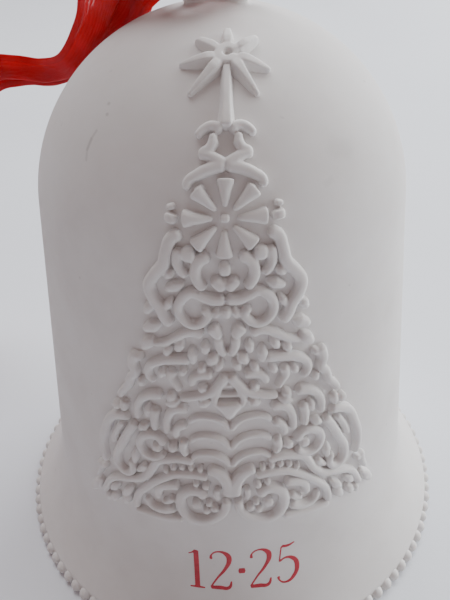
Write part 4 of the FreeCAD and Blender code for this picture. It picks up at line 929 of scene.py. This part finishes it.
rows = ribbon_rows()
length = sum((b[0] - a[0]).length for a, b in zip(rows, rows[1:]))
points, faces, laid = [], [], []
run = 0.0
for index, (middle, way, spread) in enumerate(rows):
    before, after = rows[max(index - 1, 0)][0], rows[min(index + 1, len(rows) - 1)][0]
    along = (after - before).normalized()
    across = (way - along * way.dot(along)).normalized()
    facing = along.cross(across)
    run += (middle - before).length
    for step in range(ACROSS_STEPS + 1):
        share = step / ACROSS_STEPS
        edge, lift = folded(share, run, spread)
        spot = middle + across * edge + facing * lift
        spot.z = max(spot.z, TABLE_GAP)
        points.append(spot * MM)
        laid.append((share * RIBBON_WIDTH * MM, run * MM))
row_size = ACROSS_STEPS + 1
for row in range(len(rows) - 1):
    for step in range(ACROSS_STEPS):
        corner = row * row_size + step
        faces.append((corner, corner + 1, corner + row_size + 1, corner + row_size))
cloth = bpy.data.meshes.new("organza_ribbon")
cloth.from_pydata(points, [], faces)
weave_map = cloth.uv_layers.new(name="laid_flat")
for item in cloth.loops:
    weave_map.data[item.index].uv = laid[item.vertex_index]
cloth.polygons.foreach_set("use_smooth", [True] * len(cloth.polygons))
ribbon = placed("organza_ribbon", cloth)
body = ribbon.modifiers.new("body", "SOLIDIFY")
body.thickness = RIBBON_THICKNESS
body.offset = 0


def organza():
    """Sheer plain weave: fine red threads each way, closer at the edges, with a silky sheen."""
    material, tree, shader, place = new_material("red_organza")
    flat = add(tree, "ShaderNodeSeparateXYZ",
               {0: add(tree, "ShaderNodeUVMap", uv_map="laid_flat").outputs[0]}).outputs
    threads = []
    for value in (flat["X"], flat["Y"]):
        wave = sums(tree, "SINE", sums(tree, "MULTIPLY", value, 2 * math.pi / (0.24 * MM)))
        threads.append(wave)
    crossing = sums(tree, "MAXIMUM", *threads)
    from_middle = sums(tree, "ABSOLUTE",
                       sums(tree, "SUBTRACT", flat["X"], RIBBON_WIDTH / 2 * MM))
    hem = add(tree, "ShaderNodeMapRange",
              {0: from_middle, 1: (RIBBON_WIDTH / 2 - 0.55) * MM,
               2: (RIBBON_WIDTH / 2 - 0.4) * MM}, clamp=True).outputs[0]
    cover = add(tree, "ShaderNodeMapRange",
                {0: crossing, 1: -0.75, 2: -0.45, 3: 0.25, 4: 0.93}, clamp=True).outputs[0]
    join(tree, sums(tree, "MAXIMUM", cover, hem), shader.inputs["Alpha"])
    shade = texture(tree, place, 260, 3, 0.5)
    colour = ramp(tree, shade, [(0.3, (0.40, 0.001, 0.004)), (0.55, (0.52, 0.002, 0.007)),
                                (0.75, (0.62, 0.006, 0.016))])
    deep = add(tree, "ShaderNodeMix", {0: sums(tree, "MULTIPLY", hem, 0.45), 6: colour,
                                       7: (0.16, 0.004, 0.008, 1)}, data_type="RGBA")
    join(tree, deep.outputs[2], shader.inputs["Base Color"])
    shader.inputs["Roughness"].default_value = 0.42
    shader.inputs["Subsurface Weight"].default_value = 0.5
    shader.inputs["Subsurface Radius"].default_value = (1.0, 0.06, 0.08)
    shader.inputs["Subsurface Scale"].default_value = 0.8 * MM
    shader.inputs["Sheen Weight"].default_value = 0.12
    shader.inputs["Sheen Roughness"].default_value = 0.35
    shader.inputs["Sheen Tint"].default_value = (1.0, 0.05, 0.09, 1)
    shader.inputs["Specular IOR Level"].default_value = 0.12
    height = sums(tree, "ADD", threads[0], threads[1])
    bump = add(tree, "ShaderNodeBump", {"Height": height, "Strength": 0.25, "Distance": 0.03 * MM})
    join(tree, bump.outputs["Normal"], shader.inputs["Normal"])
    return material


cloth.materials.append(organza())
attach(ribbon, "bell")
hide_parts("ribbon_gather", "ribbon_back_strand", "ribbon_front_strand", "ribbon_knot",
            "ribbon_tail_1", "ribbon_tail_2")

# ---------------------------------------------------------------------------------------------
# Table, light and camera
# ---------------------------------------------------------------------------------------------

FLOOR_REACH = 4.0

floor_mesh = bpy.data.meshes.new("table_top")
floor_mesh.from_pydata([(-FLOOR_REACH, -FLOOR_REACH, 0), (FLOOR_REACH, -FLOOR_REACH, 0),
                        (FLOOR_REACH, FLOOR_REACH, 0), (-FLOOR_REACH, FLOOR_REACH, 0)],
                       [], [(0, 1, 2, 3)])
floor = placed("table_top", floor_mesh)
material, tree, shader, place = new_material("pale_table")
clouding = texture(tree, place, 9, 3, 0.5)
colour = ramp(tree, clouding, [(0.3, (0.78, 0.81, 0.87)), (0.7, (0.82, 0.85, 0.90))])
join(tree, colour, shader.inputs["Base Color"])
rough = add(tree, "ShaderNodeMapRange", {0: clouding, 1: 0.3, 2: 0.7, 3: 0.62, 4: 0.76})
join(tree, rough.outputs[0], shader.inputs["Roughness"])
paper_grain = texture(tree, place, 1800, 3, 0.6)
bump = add(tree, "ShaderNodeBump", {"Height": paper_grain, "Strength": 0.15, "Distance": 0.1 * MM})
join(tree, bump.outputs["Normal"], shader.inputs["Normal"])
floor.data.materials.append(material)


def soft_light(name, place, aim, width, power, colour):
    """Square soft box turned towards a point."""
    data = bpy.data.lights.new(name, "AREA")
    data.size = width
    data.energy = power
    data.color = colour
    light = bpy.data.objects.new(name, data)
    bpy.context.scene.collection.objects.link(light)
    way = (Vector(aim) - Vector(place)).to_track_quat("-Z", "Y")
    light.matrix_world = Matrix.Translation(place) @ way.to_matrix().to_4x4()


middle = (0, 0, 0.04)
soft_light("window", (0.4, 0.45, 0.5), middle, 0.5, 5.5, (0.92, 0.97, 1.0))
soft_light("ceiling", (-0.15, 0.3, 0.75), middle, 0.5, 4.0, (0.94, 0.97, 1.0))
soft_light("right_fill", (0.5, 0.05, 0.2), middle, 0.35, 2.4, (0.96, 1.0, 1.0))
world = bpy.data.worlds.new("room")
world.use_nodes = True
world.node_tree.nodes["Background"].inputs["Color"].default_value = (1.0, 0.77, 0.73, 1)
world.node_tree.nodes["Background"].inputs["Strength"].default_value = 0.30
bpy.context.scene.world = world

lens = bpy.data.cameras.new("camera")
lens.lens = 39.0
lens.sensor_width = 36.0
lens.clip_start = 0.005
camera = bpy.data.objects.new("camera", lens)
bpy.context.scene.collection.objects.link(camera)
camera.matrix_world = (Matrix.Translation((0, -77.25 * MM, 91.05 * MM))
                       @ Matrix.Rotation(math.radians(0.09), 4, "Z")
                       @ Matrix.Rotation(math.radians(90 - 35.86), 4, "X")
                       @ Matrix.Rotation(math.radians(-1.96), 4, "Z"))
bpy.context.scene.camera = camera
